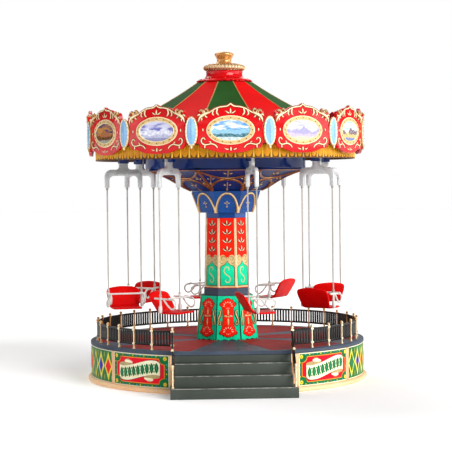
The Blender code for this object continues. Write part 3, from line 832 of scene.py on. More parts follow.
# Its crest colour is a painted highlight where the relief faces out or up.
GOLD = Paint("post_gold", "C8985E", "9A6A3C", 0.36, metallic=0.1, patch=4, crest="FAE8C4", highlight_from=0.5)
CAP_GOLD = Paint(
    "cap_gold", "DCA060", "C88A4A", 0.2, metallic=0.5, gloss=0.5, patch=40, grain=8.0, relief=0.0
)
GREEN = Paint("panel_green", "04783A", "04602C", 0.4, coat=0.05, gloss=0.12, patch=14)
YELLOW = Paint("lemon_paint", "F8EA40", "E4D030", 0.4, gloss=0.12, patch=5)
OLIVE = Paint("olive_paint", "9EA228", "7E8C1C", 0.35, patch=5)
ORANGE = Paint("orange_paint", "F09A2A", "E07C1C", 0.35, patch=5)
BLUE = Paint("diamond_blue", "0808C4", "040498", 0.4, gloss=0.1, patch=6)
FIELD_RED = Paint("field_red", "F40A28", "E00820", 0.4, gloss=0.1, patch=14)
CREAM = Paint("ribbon_cream", "FBF7D8", "F2ECC4", 0.4, patch=10)
RIBBON_SHADE = Paint("ribbon_shade", "BCA874", "A8905C", 0.38, patch=6)
TEAL = Paint("teal_dots", "38C4CC", "2896A8", 0.35)
VIOLET = Paint("violet_dots", "7A68C0", "6A58B0", 0.35)
FIELD_SHADOW = Paint("ribbon_shadow", "8A1020", "7A0E1C", 0.35)
MARK_GREEN = Paint("mark_green", "2E8A62", "227250", 0.35)
TURQUOISE = Paint("turquoise_paint", "0CDCA0", "08C48E", 0.45, gloss=0.08, patch=12)
BOARD_RED = Paint("board_red", "FF2408", "F01C06", 0.45, gloss=0.08, patch=10)
OUTLINE = Paint("dark_outline", "381808", "281004", 0.5, gloss=0.05)
# Its crest colour is a painted highlight where the relief faces out or up.
LEAF_CREAM = Paint("leaf_cream", "DCC890", "C0A060", 0.36, patch=3, crest="FFF6D6", highlight_from=0.7)
STRIP_CREAM = Paint("strip_cream", "F0DEB4", "E0C490", 0.38, patch=6)
BAND_TAN = Paint("band_tan", "DABE86", "C8A266", 0.38, patch=5)
# Its crest colour is a painted highlight where the relief faces out or up.
SCROLL_TAN = Paint("scroll_tan", "B08A4E", "94703A", 0.38, patch=4, crest="E2C68E", highlight_from=0.8)
# Also the valance ring, where its dark brown is a painted shade between the tongues.
SCROLL_BROWN = Paint("scroll_brown", "6A4418", "543410", 0.4, patch=4)
ROYAL = Paint("royal_blue", "0650A0", "053E84", 0.3, coat=0.12, patch=22)
# A darker copy of royal blue for the capital's upper tier: painted shade under the crown.
ROYAL_PAINTED_SHADE = Paint("royal_painted_shade", "062A72", "051F58", 0.4, gloss=0.1, patch=22)
# Darker still for the drum and its arms: painted shade under the roof; its gloss coat is its own.
DRUM_BLUE_PAINTED_SHADE = Paint(
    "drum_blue_painted_shade", "04286E", "031F56", 0.4, coat=0.5, gloss=0.0, patch=30, grain=8.0, relief=0.0
)
# Its crest colour is a painted highlight where the relief faces out or up.
ARCH_GOLD = Paint(
    "arch_gold", "C08C4C", "9A6428", 0.32, metallic=0.15, patch=7, crest="F6DCA8", highlight_from=0.75
)
# Its crest colour is a painted highlight where the relief faces out or up.
FLORET_GOLD = Paint(
    "floret_gold", "B88848", "8E5A24", 0.34, metallic=0.1, patch=4, crest="F4DEB0", highlight_from=0.6
)
# Its crest colour is a painted highlight where the relief faces out or up.
BRONZE = Paint(
    "bronze_relief", "8E4C20", "6A3412", 0.3, metallic=0.1, patch=8, crest="E8B070", highlight_from=0.88
)
AMBER = Paint("amber_fringe", "DE9A14", "BE7A08", 0.34, metallic=0.1, coat=0.08, gloss=0.14, patch=30)
ROOF_RED = Paint("gore_red", "E01414", "D21010", 0.6, gloss=0.03, patch=26)
ROOF_GREEN = Paint("gore_green", "2C5826", "264E1E", 0.6, gloss=0.03, patch=26)
SEAM = Paint("seam_gold", "B88E50", "A07840", 0.5, gloss=0.1, patch=6)
CROWN_RED = Paint("crown_red", "D80A12", "C2080E", 0.4, coat=0.7, gloss=0.0, patch=16, relief=0.01)
# Dark red laid under the gilt strokes: a painted shadow of the relief.
CROWN_PAINTED_SHADOW = Paint("crown_painted_shadow", "860C10", "6E080C", 0.4, patch=8)
# Its crest colour is a painted highlight where the relief faces out or up.
GILT = Paint(
    "gilt_scrolls", "C48C44", "9A6024", 0.34, metallic=0.1, patch=3, crest="FFF2C8", highlight_from=0.6
)
GILT_SHADE = Paint("gilt_shade", "A8743C", "8A5A28", 0.38, metallic=0.1, patch=4)
FRAME_GOLD = Paint("frame_gold", "E6C68E", "CCA05E", 0.38, metallic=0.05, patch=1.6)
GILT_DOTS = Paint("frame_nails", "6E4014", "54300E", 0.4)
OVAL_BLUE = Paint("oval_blue", "86B6E6", "9CC8F0", 0.25, coat=0.2, patch=8)
EDGE_CREAM = Paint("edge_cream", "FCF0CC", "F2DCA8", 0.36, patch=3)
OVAL_LINE = Paint("oval_line", "4E7CA8", "3E6C98", 0.3)
# Its crest colour is a painted highlight where the relief faces out or up.
SHOULDER_GOLD = Paint(
    "shoulder_gold", "C48C4A", "9C6830", 0.32, metallic=0.1, patch=3, crest="FFF0C8", highlight_from=0.6
)
# Also the tongues' cores, where the lighter colour is a painted highlight.
FRINGE_LIGHT = Paint("fringe_light", "F6C038", "DCA01C", 0.34, coat=0.05, gloss=0.14, patch=24)
SILVER = Paint(
    "fork_silver", "D6D8D8", "C2C5C6", 0.3, metallic=0.15, coat=0.3, gloss=0.3, patch=40, grain=8.0,
    relief=0.0
)
WIRE = Paint("wire_grey", "B8B2AA", "A49D94", 0.36, metallic=0.4)
WHITE = Paint("frame_white", "D6D4CE", "C2C0BA", 0.3, coat=0.1, patch=8)
SEAT_RED = Paint(
    "seat_red", "DC0808", "C80606", 0.4, coat=0.04, gloss=0.06, patch=24, grain=5.0, relief=0.0
)


class ViewColours(Enum):
    """The colours of a painted oval: sky, cloud, far hills, near hills and ground."""

    LAKE = ("5A9CDC", "FFFFFF", "9CC8D4", "12525E", "DCEEF0")
    SNOW = ("6A70BC", "D4D4EC", "F6F6FC", "A4A8CC", "8C8CB4")
    AUTUMN = ("1E2C6C", "C88A40", "C4761E", "2A1A12", "B4B4A4")
    MEADOW = ("B4B4DC", "ECEAF6", "9C94C4", "C4B8C4", "DCD2A0")
    DUSK = ("A8C4D8", "F8F8F4", "7A4A44", "E4CE8A", "3C6CC4")


@dataclass(frozen=True)
class PaintedView:
    """A small painted country view of rolling ground, for one oval.

    Args:
        scene: Its colours.
        seed: Moves its hills and clouds.
    """

    scene: ViewColours
    seed: float

    def material(self) -> bpy.types.Material:
        """The view as a material on the oval's own UV map.

        Returns:
            The material.
        """
        sky, cloud, far, near, ground = (linear(code) for code in self.scene.value)
        made, tree = new_material(f"view_{self.scene.name.lower()}_{round(self.seed)}")
        spot = tree.add("ShaderNodeUVMap", uv_map="oval").outputs[0]
        up = tree.add("ShaderNodeSeparateXYZ", {0: spot}).outputs[1]
        moved = tree.vectors("ADD", spot, (self.seed, 0.0, 0.0))[0]
        along = tree.vectors("MULTIPLY", moved, (1.0, 0.0, 0.0))[0]
        wide = tree.vectors("MULTIPLY", moved, (1.0, 2.2, 1.0))[0]
        clouds = tree.spread(tree.noise(1.3, 5.0, wide), 0.42, 0.56, 0.0, 1.0)
        colour = tree.blend(clouds, sky, cloud)
        brush = tree.spread(tree.noise(7.0, 5.0, moved), 0.38, 0.66, 0.0, 0.55)
        for level, swell, scale, tone, mixed in (
            (0.12, 2.2, 1.5, far, sky), (-0.3, 1.6, 1.2, near, far), (-0.62, 0.5, 1.0, ground, near),
        ):
            ridge = tree.sums("MULTIPLY_ADD", tree.noise(scale, 3.0, along), swell, level - swell / 2)
            below = tree.spread(tree.sums("SUBTRACT", ridge, up), 0.0, 0.05, 0.0, 1.0)
            colour = tree.blend(below, colour, tree.blend(brush, tone, mixed))
        tree.surface(
            {"Base Color": colour, "Roughness": 0.25, "Specular IOR Level": 0.2, "Coat Weight": 0.15}
        )
        return made


@dataclass
class Base:
    """The moulded base, its deck and the flight of steps."""

    foot_radius: float = 128.5
    foot_height: float = 4.2
    wall_radius: float = 124.6
    deck_radius: float = 125.9
    deck_top: float = 36.0
    deck_thickness: float = 3.0
    deck_front: float = 116.0
    slot_half: float = 50.2
    slot_back: float = 105.7
    recess: Pair = (104.0, 1.2)
    screws: Pair = (1.9, 90.0)
    step_fronts: tuple[float, ...] = (150.8, 139.0, 127.2, 115.4)
    step_back: float = 106.0
    step_rise: float = 9.0
    step_halves: Pair = (53.5, 49.9)
    step_tuck: float = 0.08
    front_bare: Pair = (-18.0, 16.5)
    bare: float = 18.0
    wedges: int = 6
    wedge_reach: Pair = (27.0, 117.6)
    paint_rise: float = 0.12
    spot_rings: tuple[tuple[float, int], ...] = ((48.0, 9), (73.0, 14), (104.0, 19))

    @property
    def body_top(self) -> float:
        """How high the body reaches, just under the deck."""
        return self.deck_top - self.deck_thickness - 0.1

    def front_cut(self, shape: BMesh, half: float, depth: float) -> BMesh:
        """Cut everything away in front of a line, over a half width."""
        far = 2 * self.foot_radius
        return cut_away(shape, block((-half, -far, -5.0), (half, -depth, far)))

    def moulding(self) -> BMesh:
        """The wall on its rounded foot, with a shallow recess below and room for the steps.

        Returns:
            The moulded base.
        """
        wall, half, top = self.wall_radius, self.foot_height / 2, self.body_top
        reach, depth = self.recess
        side = [(0.0, top), (wall, top), (wall, 2 * half + 0.5), (wall + 0.5, 2 * half)]
        roll = arc(self.foot_radius - half, half, half, 90, -90)
        under = [(reach, 0.0), (reach, depth), (0.0, depth)]
        return self.front_cut(turned([*side, *roll, *under], 144), self.slot_half, self.slot_back)

    def underside(self) -> BMesh:
        """The cover in the recess below, with its screws and round feet.

        Returns:
            The cover, screws and feet.
        """
        (reach, depth), (head, ring) = self.recess, self.screws
        edge = [(reach - 0.5, depth + 0.1), (reach - 0.5, 0.7), (reach - 0.9, 0.4)]
        cover = turned([(0.0, depth + 0.1), *edge, (0.0, 0.4)], 96)
        edge = [(head, 0.6), (head, 0.3), (head - 0.4, 0.15), (0.7, 0.1), (0.6, 0.35)]
        screw = turned([(0.0, 0.6), *edge, (0.0, 0.35)], 16)
        foot = turned([(0.0, 0.6), (5.0, 0.6), (5.0, 0.3), (4.6, 0.02), (0.0, 0.02)], 20)
        screws = repeated(screw, around(6, ring, first=30.0))
        return gathered([cover, screws, repeated(foot, around(6, ring - 4.0))])

    def deck(self) -> BMesh:
        """The deck with its rounded rim, cut straight across at the steps.

        Returns:
            The deck.
        """
        out, top, low = self.deck_radius, self.deck_top, self.deck_top - self.deck_thickness
        rim = [(out - 0.5, top), (out - 0.2, top - 0.1), (out, top - 0.4), (out, low + 0.4), (out - 0.4, low)]
        return self.front_cut(turned([(0.0, top), *rim, (0.0, low)], 144), 2 * out, self.deck_front)

    def wedge(self, start: float, end: float) -> BMesh:
        """One painted wedge of the deck between two angles.

        Args:
            start: Where it starts.
            end: Where it ends.

        Returns:
            The wedge, lying on the deck.
        """
        inner, outer = self.wedge_reach
        outline = arc(0.0, 0.0, outer, start - 90, end - 90) + arc(0.0, 0.0, inner, end - 90, start - 90)
        return carried(plated(outline, self.paint_rise, 0.2), shifted(z=self.deck_top) @ tipped(-90))

    def all_wedges(self) -> BMesh:
        """The painted wedges, a wide bare one at the front and narrow bare ones between the others.

        Returns:
            The wedges, lying on the deck.
        """
        left, right = self.front_bare
        wide = (360.0 - (right - left) - (self.wedges - 1) * self.bare) / self.wedges
        starts = [right + i * (wide + self.bare) for i in range(self.wedges)]
        shape = gathered(self.wedge(start, start + wide) for start in starts)
        return self.front_cut(shape, 2 * self.deck_radius, self.deck_front - 0.6)

    def spots(self) -> BMesh:
        """Dark spots scattered evenly over the deck.

        Returns:
            The spots, lying on the deck.
        """
        top = self.deck_top + self.paint_rise - 0.05
        places = []
        for ring, (radius, count) in enumerate(self.spot_rings):
            places += around(count, radius, top, 11.0 * ring)
        return repeated(carried(dot(0.0, 0.0, 1.6, 0.25), tipped(-90)), places)

    def steps(self) -> BMesh:
        """Three rounded treads, the lowest wider, and the riser under the deck's edge.

        Returns:
            The steps.
        """
        tops = [self.step_rise, 2 * self.step_rise, 3 * self.step_rise, self.body_top]
        parts = []
        for i, (front, top) in enumerate(zip(self.step_fronts, tops)):
            half = self.step_halves[min(i, 1)] - self.step_tuck * i
            back = self.step_fronts[2] if i == 0 else self.step_back
            parts.append(block((-half, -front, 0.04 * i), (half, -back, top), 0.6))
        return gathered(parts)

    def nosings(self) -> BMesh:
        """A lighter strip along each tread's front edge: a painted highlight, with uneven patches.

        Returns:
            The front edges.
        """
        parts = []
        for i, front in enumerate(self.step_fronts[:3]):
            half = self.step_halves[min(i, 1)] - 0.7
            strip = block((-half, 0.0, -0.3), (half, 0.55, 0.3), 0.12)
            parts.append(carried(strip, shifted(0.0, 0.02 - front, (i + 1) * self.step_rise - 0.24)))
        return gathered(parts)

    def build(self) -> None:
        """Make the base's pieces."""
        for name, shape, paint, slot, *nodes in (
            ("base_moulding", self.moulding(), TAN, "base_paint", "base_drum"),
            ("base_cover", self.underside(), COVER_GREY, "base_paint"),
            ("deck_board", self.deck(), SLATE, "deck_paint", "deck"),
            ("deck_wedges", self.all_wedges(), MAROON, "deck_paint"),
            ("deck_spots", self.spots(), DARK_RED, "deck_paint"),
            ("flight", self.steps(), TREAD_GREY, "step_paint", "steps"),
            # The treads' lighter front edges are a painted highlight.
            ("flight_nosings", self.nosings(), TREAD_HIGHLIGHT, "step_paint"),
        ):
            finished(name, shape, paint, *nodes, body="base", slot=slot)


@dataclass
class SidePanels:
    """The painted panels round the base."""

    radius: float = 125.0
    pilaster_rise: float = 1.1
    low: float = 4.5
    high: float = 32.7
    nears: Pair = (25.6, 27.0)
    far: float = 55.2
    pilaster: float = 0.8
    bays: int = 3
    diamonds: int = 6
    strip_start: float = 24.3
    field_half: Pair = (26.6, 10.5)
    notch: Pair = (4.6, 4.2)
    rosette: Pair = (27.5, 11.0)
    spot_ring: Pair = (29.0, 12.6)
    ribbon: Line = (
        (-22.8, 3.7), (-20.4, 3.1), (-15.6, 3.1), (-8.0, 4.3), (0.6, 6.5), (9.3, 8.7), (16.2, 9.3),
        (20.4, 8.6), (22.8, 6.7),
    )
    tail_over: Line = (
        (-22.8, 3.9), (-22.2, 5.4), (-17.6, 6.3), (-11.6, 6.5), (-6.9, 6.4), (-6.6, 4.9), (-9.0, 3.6),
    )
    tail_under: Line = ((-9.0, 3.6), (-14.4, 2.4), (-19.6, 2.7))
    roll: Line = (
        (-15.6, 6.3), (-15.9, 7.8), (-14.2, 8.3), (-10.0, 8.2), (-6.9, 7.0), (-6.9, 5.9), (-11.0, 5.9),
    )
    cap: Line = ((-14.8, 8.2), (-14.2, 9.1), (-11.6, 9.3), (-9.6, 8.7), (-10.0, 8.0))

    @property
    def tall(self) -> float:
        """Half of the panels' height."""
        return (self.high - self.low) / 2

    @property
    def bay(self) -> float:
        """The angle that one bay of diamonds takes."""
        return (180.0 - self.far) / self.bays

    def span(self, degrees: float) -> float:
        """The length along the wall of an angle."""
        return math.radians(degrees) * self.radius

    def layer(self, parts: Iterable[BMesh], angle: float, every: float = 4.0) -> BMesh:
        """Lay shapes drawn about a panel's centre on the wall at an angle."""
        wall, lift = on_wall(self.radius, angle), shifted(z=(self.low + self.high) / 2)
        return gathered(wrapped(carried(part, lift), wall, every) for part in parts)

    def rectangle(self, wide: float, high: float, front: float, edge: float = 0.0) -> BMesh:
        """A rectangular plate about the panel's centre, from its half width and half height."""
        corners = ((-1, -1), (1, -1), (1, 1), (-1, 1))
        return plated([(x * wide, z * high) for x, z in corners], front, 0.3, edge)

    def pilasters(self, angles: Iterable[float], half: float) -> BMesh:
        """Upright strips at the given angles; the half width is in degrees."""
        strip = (self.span(half), self.tall, self.pilaster_rise, 0.35)
        return gathered(self.layer([self.rectangle(*strip)], angle) for angle in angles)

    def field_outline(self, grow: float) -> list[Pair]:
        """The red field's outline, a rectangle with scooped corners and a small horn at each end.

        Args:
            grow: How far it lies outside the field's edge.

        Returns:
            The outline.
        """
        wide, tall = (half + grow for half in self.field_half)
        across, down = (size + grow * 0.41 for size in self.notch)
        quarter = [(wide, tall - down - 0.7)]
        for lean in map(math.radians, (0, 22, 45, 68, 90)):
            quarter.append((wide - 0.5 - across * math.sin(lean), tall - 0.5 - down * math.cos(lean)))
        quarter.append((wide - across - 0.7, tall))
        return both_sides([*((x, -z) for x, z in reversed(quarter)), *quarter])

    def lozenge(self, wide: float, high: float, pinch: float = 0.0, centre: Pair = (0.0, 0.0)) -> list[Pair]:
        """A diamond of a half width and height, with its sides drawn in by a share of its width.

        Args:
            wide: Half of its width.
            high: Half of its height.
            pinch: How far its sides are drawn in.
            centre: Its middle.

        Returns:
            The outline.
        """
        share = 0.5 - pinch
        right = [(0.0, -high), (wide * share, -high * share), (wide, 0.0), (wide * share, high * share)]
        return [(x + centre[0], z + centre[1]) for x, z in both_sides([*right, (0.0, high)])]

    def sign(self, side: str, sign: int, near: float) -> None:
        """A green bordered sign with a bare ribbon on a red field.

        Args:
            side: left or right.
            sign: -1 for the left, 1 for the right.
            near: How far round its end beside the steps is.
        """
        end = self.far - self.pilaster
        half, tall = self.span((end - near) / 2), self.tall

        def add(part: str, shapes: Iterable[BMesh], paint: Paint, *nodes: str, every: float = 4.0) -> None:
            """Lay one painted layer of the sign."""
            shape = self.layer(shapes, sign * (near + end) / 2, every)
            finished(f"sign_{side}_{part}", shape, paint, *nodes, body="base", slot="sign_paint")

        add("edge", [self.rectangle(half, tall, 0.45)], CREAM, f"sign_panel_{side}")
        add("border", [self.rectangle(half - 0.7, tall - 0.7, 0.52)], GREEN)
        add("outline", [plated(self.field_outline(0.65), 0.6)], ORANGE)
        add("field", [plated(self.field_outline(0.0), 0.68)], FIELD_RED)
        across, up = self.rosette
        corners = [(x * across, z * up) for x in (-1, 1) for z in (-1, 1)]
        for part, size, rise, paint in (
            ("rosette_rings", 2.7, 0.72, OLIVE), ("rosettes", 2.1, 0.84, YELLOW),
            ("rosette_hearts", 1.2, 0.98, ORANGE),
        ):
            add(part, [dot(x, z, size, rise, 16) for x, z in corners], paint, every=0.0)
        across, up = self.spot_ring
        row = [(-23.1 + 4.2 * i, z * up) for i in range(12) for z in (-1, 1)]
        row += [(x * across, -6.0 + 4.0 * i) for i in range(4) for x in (-1, 1)]
        for first, (part, paint) in enumerate((("yellow", YELLOW), ("teal", TEAL), ("violet", VIOLET))):
            add(f"spots_{part}", [dot(x, z, 0.78, 0.72) for x, z in row[first::3]], paint, every=0.0)
        self.ribbon_pieces(add)

    def ribbon_pieces(self, add: Callable[..., None]) -> None:
        """The ribbon: a shadow line, two folded tails with their rolled ends, and the bare band itself.

        Args:
            add: What lays a painted layer of the sign.
        """
        top = smooth(self.ribbon, 3)
        band = [*top, *((-x, -z) for x, z in top)]
        tail = smooth(self.tail_over, 2) + smooth(self.tail_under, 2)[1:]

        def pairs(outline: Sequence[Pair], rise: float) -> list[BMesh]:
            """A shape and its match at the ribbon's other end."""
            return [plated([(sign * x, sign * z) for x, z in outline], rise) for sign in (1, -1)]

        add("ribbon_shadow", [plated([(x * 1.025, z * 1.06 - 0.15) for x, z in band], 0.8)], FIELD_SHADOW)
        add("ribbon_tails", pairs(tail, 0.88), RIBBON_SHADE)
        add("ribbon_caps", pairs(smooth(self.cap, 2), 0.84), RIBBON_SHADE)
        add("ribbon_ends", pairs(smooth(self.roll, 2), 0.96), CREAM)
        add("ribbon", [plated(band, 1.08, 0.3, 0.1)], CREAM)
        marks, hearts = [], []
        for i in range(17):
            across = -19.6 + 2.45 * i
            level = 2.9 * math.sin(math.radians(across * 90 / 23))
            if i % 2:
                small = (self.lozenge(0.75, 1.1, 0.0, (across, level + up)) for up in (-3, 3))
                marks += [plated(outline, 1.2, 0.1) for outline in small]
                continue
            marks.append(plated(self.lozenge(2.2, 4.7, -0.12, (across, level)), 1.2, 0.1))
            hearts.append(plated(self.lozenge(0.6, 2.4, 0.0, (across, level)), 1.28, 0.1))
        add("ribbon_marks", marks, GREEN)
        add("ribbon_mark_hearts", hearts, MARK_GREEN)

    def band(self, side: str, sign: int) -> None:
        """Bays of diamonds round one side.

        Args:
            side: left or right.
            sign: -1 for the left, 1 for the right.
        """
        centres = [sign * (self.far + self.bay * (i + 0.5)) for i in range(self.bays)]
        half, tall, count = self.span(self.bay / 2 - self.pilaster), self.tall, self.diamonds
        pitch = 2 * half / (count - 0.08)

        def add(part: str, make: Callable[[int], list[BMesh]], paint: Paint, *nodes: str) -> None:
            """Lay one painted layer in every bay."""
            shape = gathered(self.layer(make(i), centre) for i, centre in enumerate(centres))
            finished(f"band_{side}_{part}", shape, paint, *nodes, body="base", slot="diamond_paint")

        def kind(bay_index: int, spot: int) -> int:
            """Which of the three kinds of diamond a place has: green, blue or red."""
            return ((spot if sign > 0 else spot - count) + bay_index * count * sign) % 3

        def lozenges(wide: float, high: float, pinch: float, rise: float, wanted: int = -1) -> Callable:
            """Diamonds of one kind, or of every kind, in one bay.

            Args:
                wide: Half of their width.
                high: Half of their height.
                pinch: How far their sides are drawn in.
                rise: How far they stand out.
                wanted: The kind, or -1 for every kind.

            Returns:
                What makes them for one bay.
            """
            return lambda index: [
                plated(self.lozenge(wide, high, pinch, (pitch * (spot - (count - 1) / 2), 0.0)), rise)
                for spot in range(count) if wanted in (-1, kind(index, spot))
            ]

        def dashes(index: int) -> list[BMesh]:
            """Tall dashes between the diamonds' points.

            Args:
                index: The bay, which makes no difference to them.

            Returns:
                The dashes.
            """
            spots = [pitch * (i - count / 2) for i in range(count + 1)]
            spots[0], spots[-1] = spots[0] + 1.6, spots[-1] - 1.6
            places = [(x, z * (tall - 4.0)) for x in spots for z in (-1, 1)]
            return [plated(ellipse(0.95, 2.5, spot, 10), 0.55) for spot in places]

        add("edge", lambda index: [self.rectangle(half, tall, 0.36)], CREAM, f"side_band_{side}")
        add("ground", lambda index: [self.rectangle(half - 0.45, tall - 0.6, 0.42)], GREEN)
        add("rims", lozenges(pitch / 2 - 0.15, tall - 1.4, 0.05, 0.55), YELLOW)
        for wanted, (label, paint, wide, high) in enumerate(
            (("green", GREEN, 5.0, 8.3), ("blue", BLUE, 4.2, 7.2), ("red", FIELD_RED, 4.9, 7.0))
        ):
            add(f"hearts_{label}", lozenges(wide, high, 0.0, 0.75, wanted), paint)
        add("dashes", dashes, OLIVE)

    def build(self) -> None:
        """Make both signs, both bands and the pilasters."""
        strips = []
        for side, sign, near in (("left", -1, self.nears[0]), ("right", 1, self.nears[1])):
            self.sign(side, sign, near)
            self.band(side, sign)
            half = (near - 0.2 - self.strip_start) / 2
            strips.append(self.pilasters([sign * (self.strip_start + half)], half))
        angles = [self.far + self.bay * i for i in range(self.bays + 1)]
        both = sorted({round(sign * angle, 3) for angle in angles for sign in (-1, 1)} - {-180.0})
        shape = gathered([self.pilasters(both, self.pilaster), *strips])
        finished("pilasters", shape, PILASTER_PAINT, body="base", slot="base_paint")


@dataclass
class Railings:
    """The railing round the deck and the two beside the steps."""

    radius: float = 119.7
    deck_top: float = Base.deck_top
    lowest_step: float = Base.step_rise
    top: float = 56.2
    rails: Pair = (40.7, 52.5)
    rail: Pair = (0.9, 0.85)
    bar: Pair = (0.8, 0.55)
    post: float = 0.85
    ball: float = 1.35
    balusters: int = 6
    newel: tuple[float, float, float] = (51.2, -146.5, 28.5)
    slope_angle: float = 25.35
    slope_ends: Pair = (25.0, 51.5)
    slope_gap: float = 9.5
    slope_balusters: int = 8

    def post_shape(self, foot: float, top: float) -> BMesh:
        """A turned post with a ball and a stepped foot, about the Z axis.

        Args:
            foot: The height of its foot.
            top: The height of its top.

        Returns:
            The post.
        """
        neck, post, size = top - self.ball, self.post, self.ball
        turns = map(math.radians, (0, 25, 50, 75, 100, 125, 145))
        head = [(size * math.sin(turn), neck + size * math.cos(turn)) for turn in turns]
        rings = [(0.75, neck - 1.5), (1.15, neck - 1.8), (1.15, neck - 2.2), (post - 0.1, neck - 2.6)]
        rings += [(post - 0.1, foot + 1.9), (post + 0.2, foot + 1.6), (post + 0.2, foot + 0.9)]
        return turned([*head, *rings, (post + 0.5, foot), (0.0, foot)], 12)

    def sleeve(self, half: float = 1.45) -> BMesh:
        """A short collar round a rail, about the origin, along X."""
        return block((-half, -0.95, -0.9), (half, 0.95, 0.9), 0.3)

    def beam(self, path: Sequence[Vector]) -> BMesh:
        """A rail with rounded edges along a path in metres.

        Args:
            path: Points of the path.

        Returns:
            The rail.
        """
        width, height = self.rail
        ups = [Vector((0.0, 0.0, 1.0))] * len(path)
        return swept(path, [height * MM] * len(path), ups, 8, width / height)

    def pieces(self, name: str, bars: Sequence[BMesh], posts: Sequence[BMesh], node: str) -> None:
        """The black and the gilt piece of a railing."""
        finished(f"{name}_bars", gathered(bars), BLACK, node, body="base", slot="fence_paint")
        finished(f"{name}_posts", gathered(posts), GOLD, body="base", slot="fence_paint")

    def run(self, name: str, angles: Sequence[float], own: tuple[bool, bool]) -> None:
        """One run of railing.

        Args:
            name: The solid that it stands for.
            angles: Where its posts are.
            own: Whether the first and last of them are its own.
        """
        stands = [place(angle, self.radius) for angle in angles]
        feet = [stand.translation for stand in stands]
        kept = stands[0 if own[0] else 1 : len(stands) if own[1] else -1]
        bars, posts = [], []
        for height in self.rails:
            path = [foot + Vector((0.0, 0.0, height * MM)) for foot in feet]
            for end, inner, mine in ((0, 1, own[0]), (-1, -2, own[1])):
                if not mine:
                    path[end] = path[end].lerp(path[inner], 0.09)
            bars.append(self.beam(path))
            posts.append(repeated(self.sleeve(), [shifted(z=height) @ stand for stand in kept]))
        posts.append(repeated(self.post_shape(self.deck_top + 0.1, self.top), kept))
        (wide, deep), (low, high) = self.bar, self.rails
        spots = []
        for first, second in zip(feet, feet[1:]):
            turn = (second - first).to_track_quat("X", "Z").to_matrix().to_4x4()
            shares = [(i + 1) / (self.balusters + 1) for i in range(self.balusters)]
            spots += [Matrix.Translation(first.lerp(second, share)) @ turn for share in shares]
        bars.append(repeated(block((-wide, -deep, low), (wide, deep, high), 0.15), spots))
        self.pieces(name, bars, posts, name)

    def step_rail(self, side: str, sign: int) -> None:
        """The sloping railing on one side of the steps.

        Args:
            side: left or right.
            sign: -1 for the left, 1 for the right.
        """
        x, near, top = self.newel
        x *= sign
        far = place(self.slope_angle, self.radius).translation.y / MM - self.post - 0.9
        ends = [Vector((x, y, z)) * MM for y, z in zip((near, far), self.slope_ends)]
        drop = Vector((0.0, 0.0, -self.slope_gap * MM))
        bars = [self.beam([end + d for end in ends]) for d in (Vector(), drop)]
        for i in range(self.slope_balusters):
            head = ends[0].lerp(ends[1], (i + 1) / (self.slope_balusters + 0.5)) / MM
            low, high = head - Vector((0.5, 0.6, self.slope_gap)), head + Vector((0.5, 0.6, 0.0))
            bars.append(block(low, high, 0.15))
        posts = [carried(self.post_shape(self.lowest_step + 0.1, top), shifted(x, near))]
        lean = (ends[1] - ends[0]).to_track_quat("X", "Z").to_matrix().to_4x4()
        middle = ends[0].lerp(ends[1], 0.5)
        for spot in (ends[0], ends[0] + drop, middle):
            posts.append(carried(self.sleeve(1.5), Matrix.Translation(spot) @ lean))
        posts.append(ball([self.ball * 1.05] * 3, Matrix.Translation(middle) @ shifted(z=0.4)))
        self.pieces(f"step_rail_{side}", bars, posts, f"step_rail_{side}")

    def build(self) -> None:
        """Make the five runs and the two step rails."""
        right = [25.5 + 10.0 * i for i in range(14)]
        left = [-25.2 - 9.8 * i for i in range(14)]
        span = 360.0 + left[-1] - right[-1]
        back = [right[-1] + span * i / 5 for i in range(6)]
        self.run("fence_right_front", right[:8], (True, True))
        self.run("fence_right_back", right[7:], (False, True))
        self.run("fence_back", back, (False, False))
        self.run("fence_left_back", left[7:], (False, True))
        self.run("fence_left_front", left[:8], (True, True))
        for side, sign in (("right", 1), ("left", -1)):
            self.step_rail(side, sign)


def prism(profile: Sequence[Pair]) -> BMesh:
    """A solid with the column's eight sides."""
    return turned(profile, COLUMN_SIDES, 180.0 / COLUMN_SIDES)


def half_side(tier: Sequence[Pair], height: float) -> float:
    """Half of the width that a side of a tier has at a height."""
    return stretch_at(tier, height)[0] * math.sin(HALF_SIDE_TURN)


def facets(tier: Sequence[Pair]) -> list[Mapper]:
    """A mapper on to each side of a tier, which is given by its corners' radii and heights."""
    curve = [(radius * math.cos(HALF_SIDE_TURN), height) for radius, height in tier]
    return [on_facet(curve, 360.0 * i / COLUMN_SIDES) for i in range(COLUMN_SIDES)]


def relief(tier: Sequence[Pair], strokes: Sequence[Stroke], sides: int = 6) -> BMesh:
    """Raised strokes on every side of a tier."""
    return gathered(stroke.raised(mapper, sides) for mapper in facets(tier) for stroke in strokes)


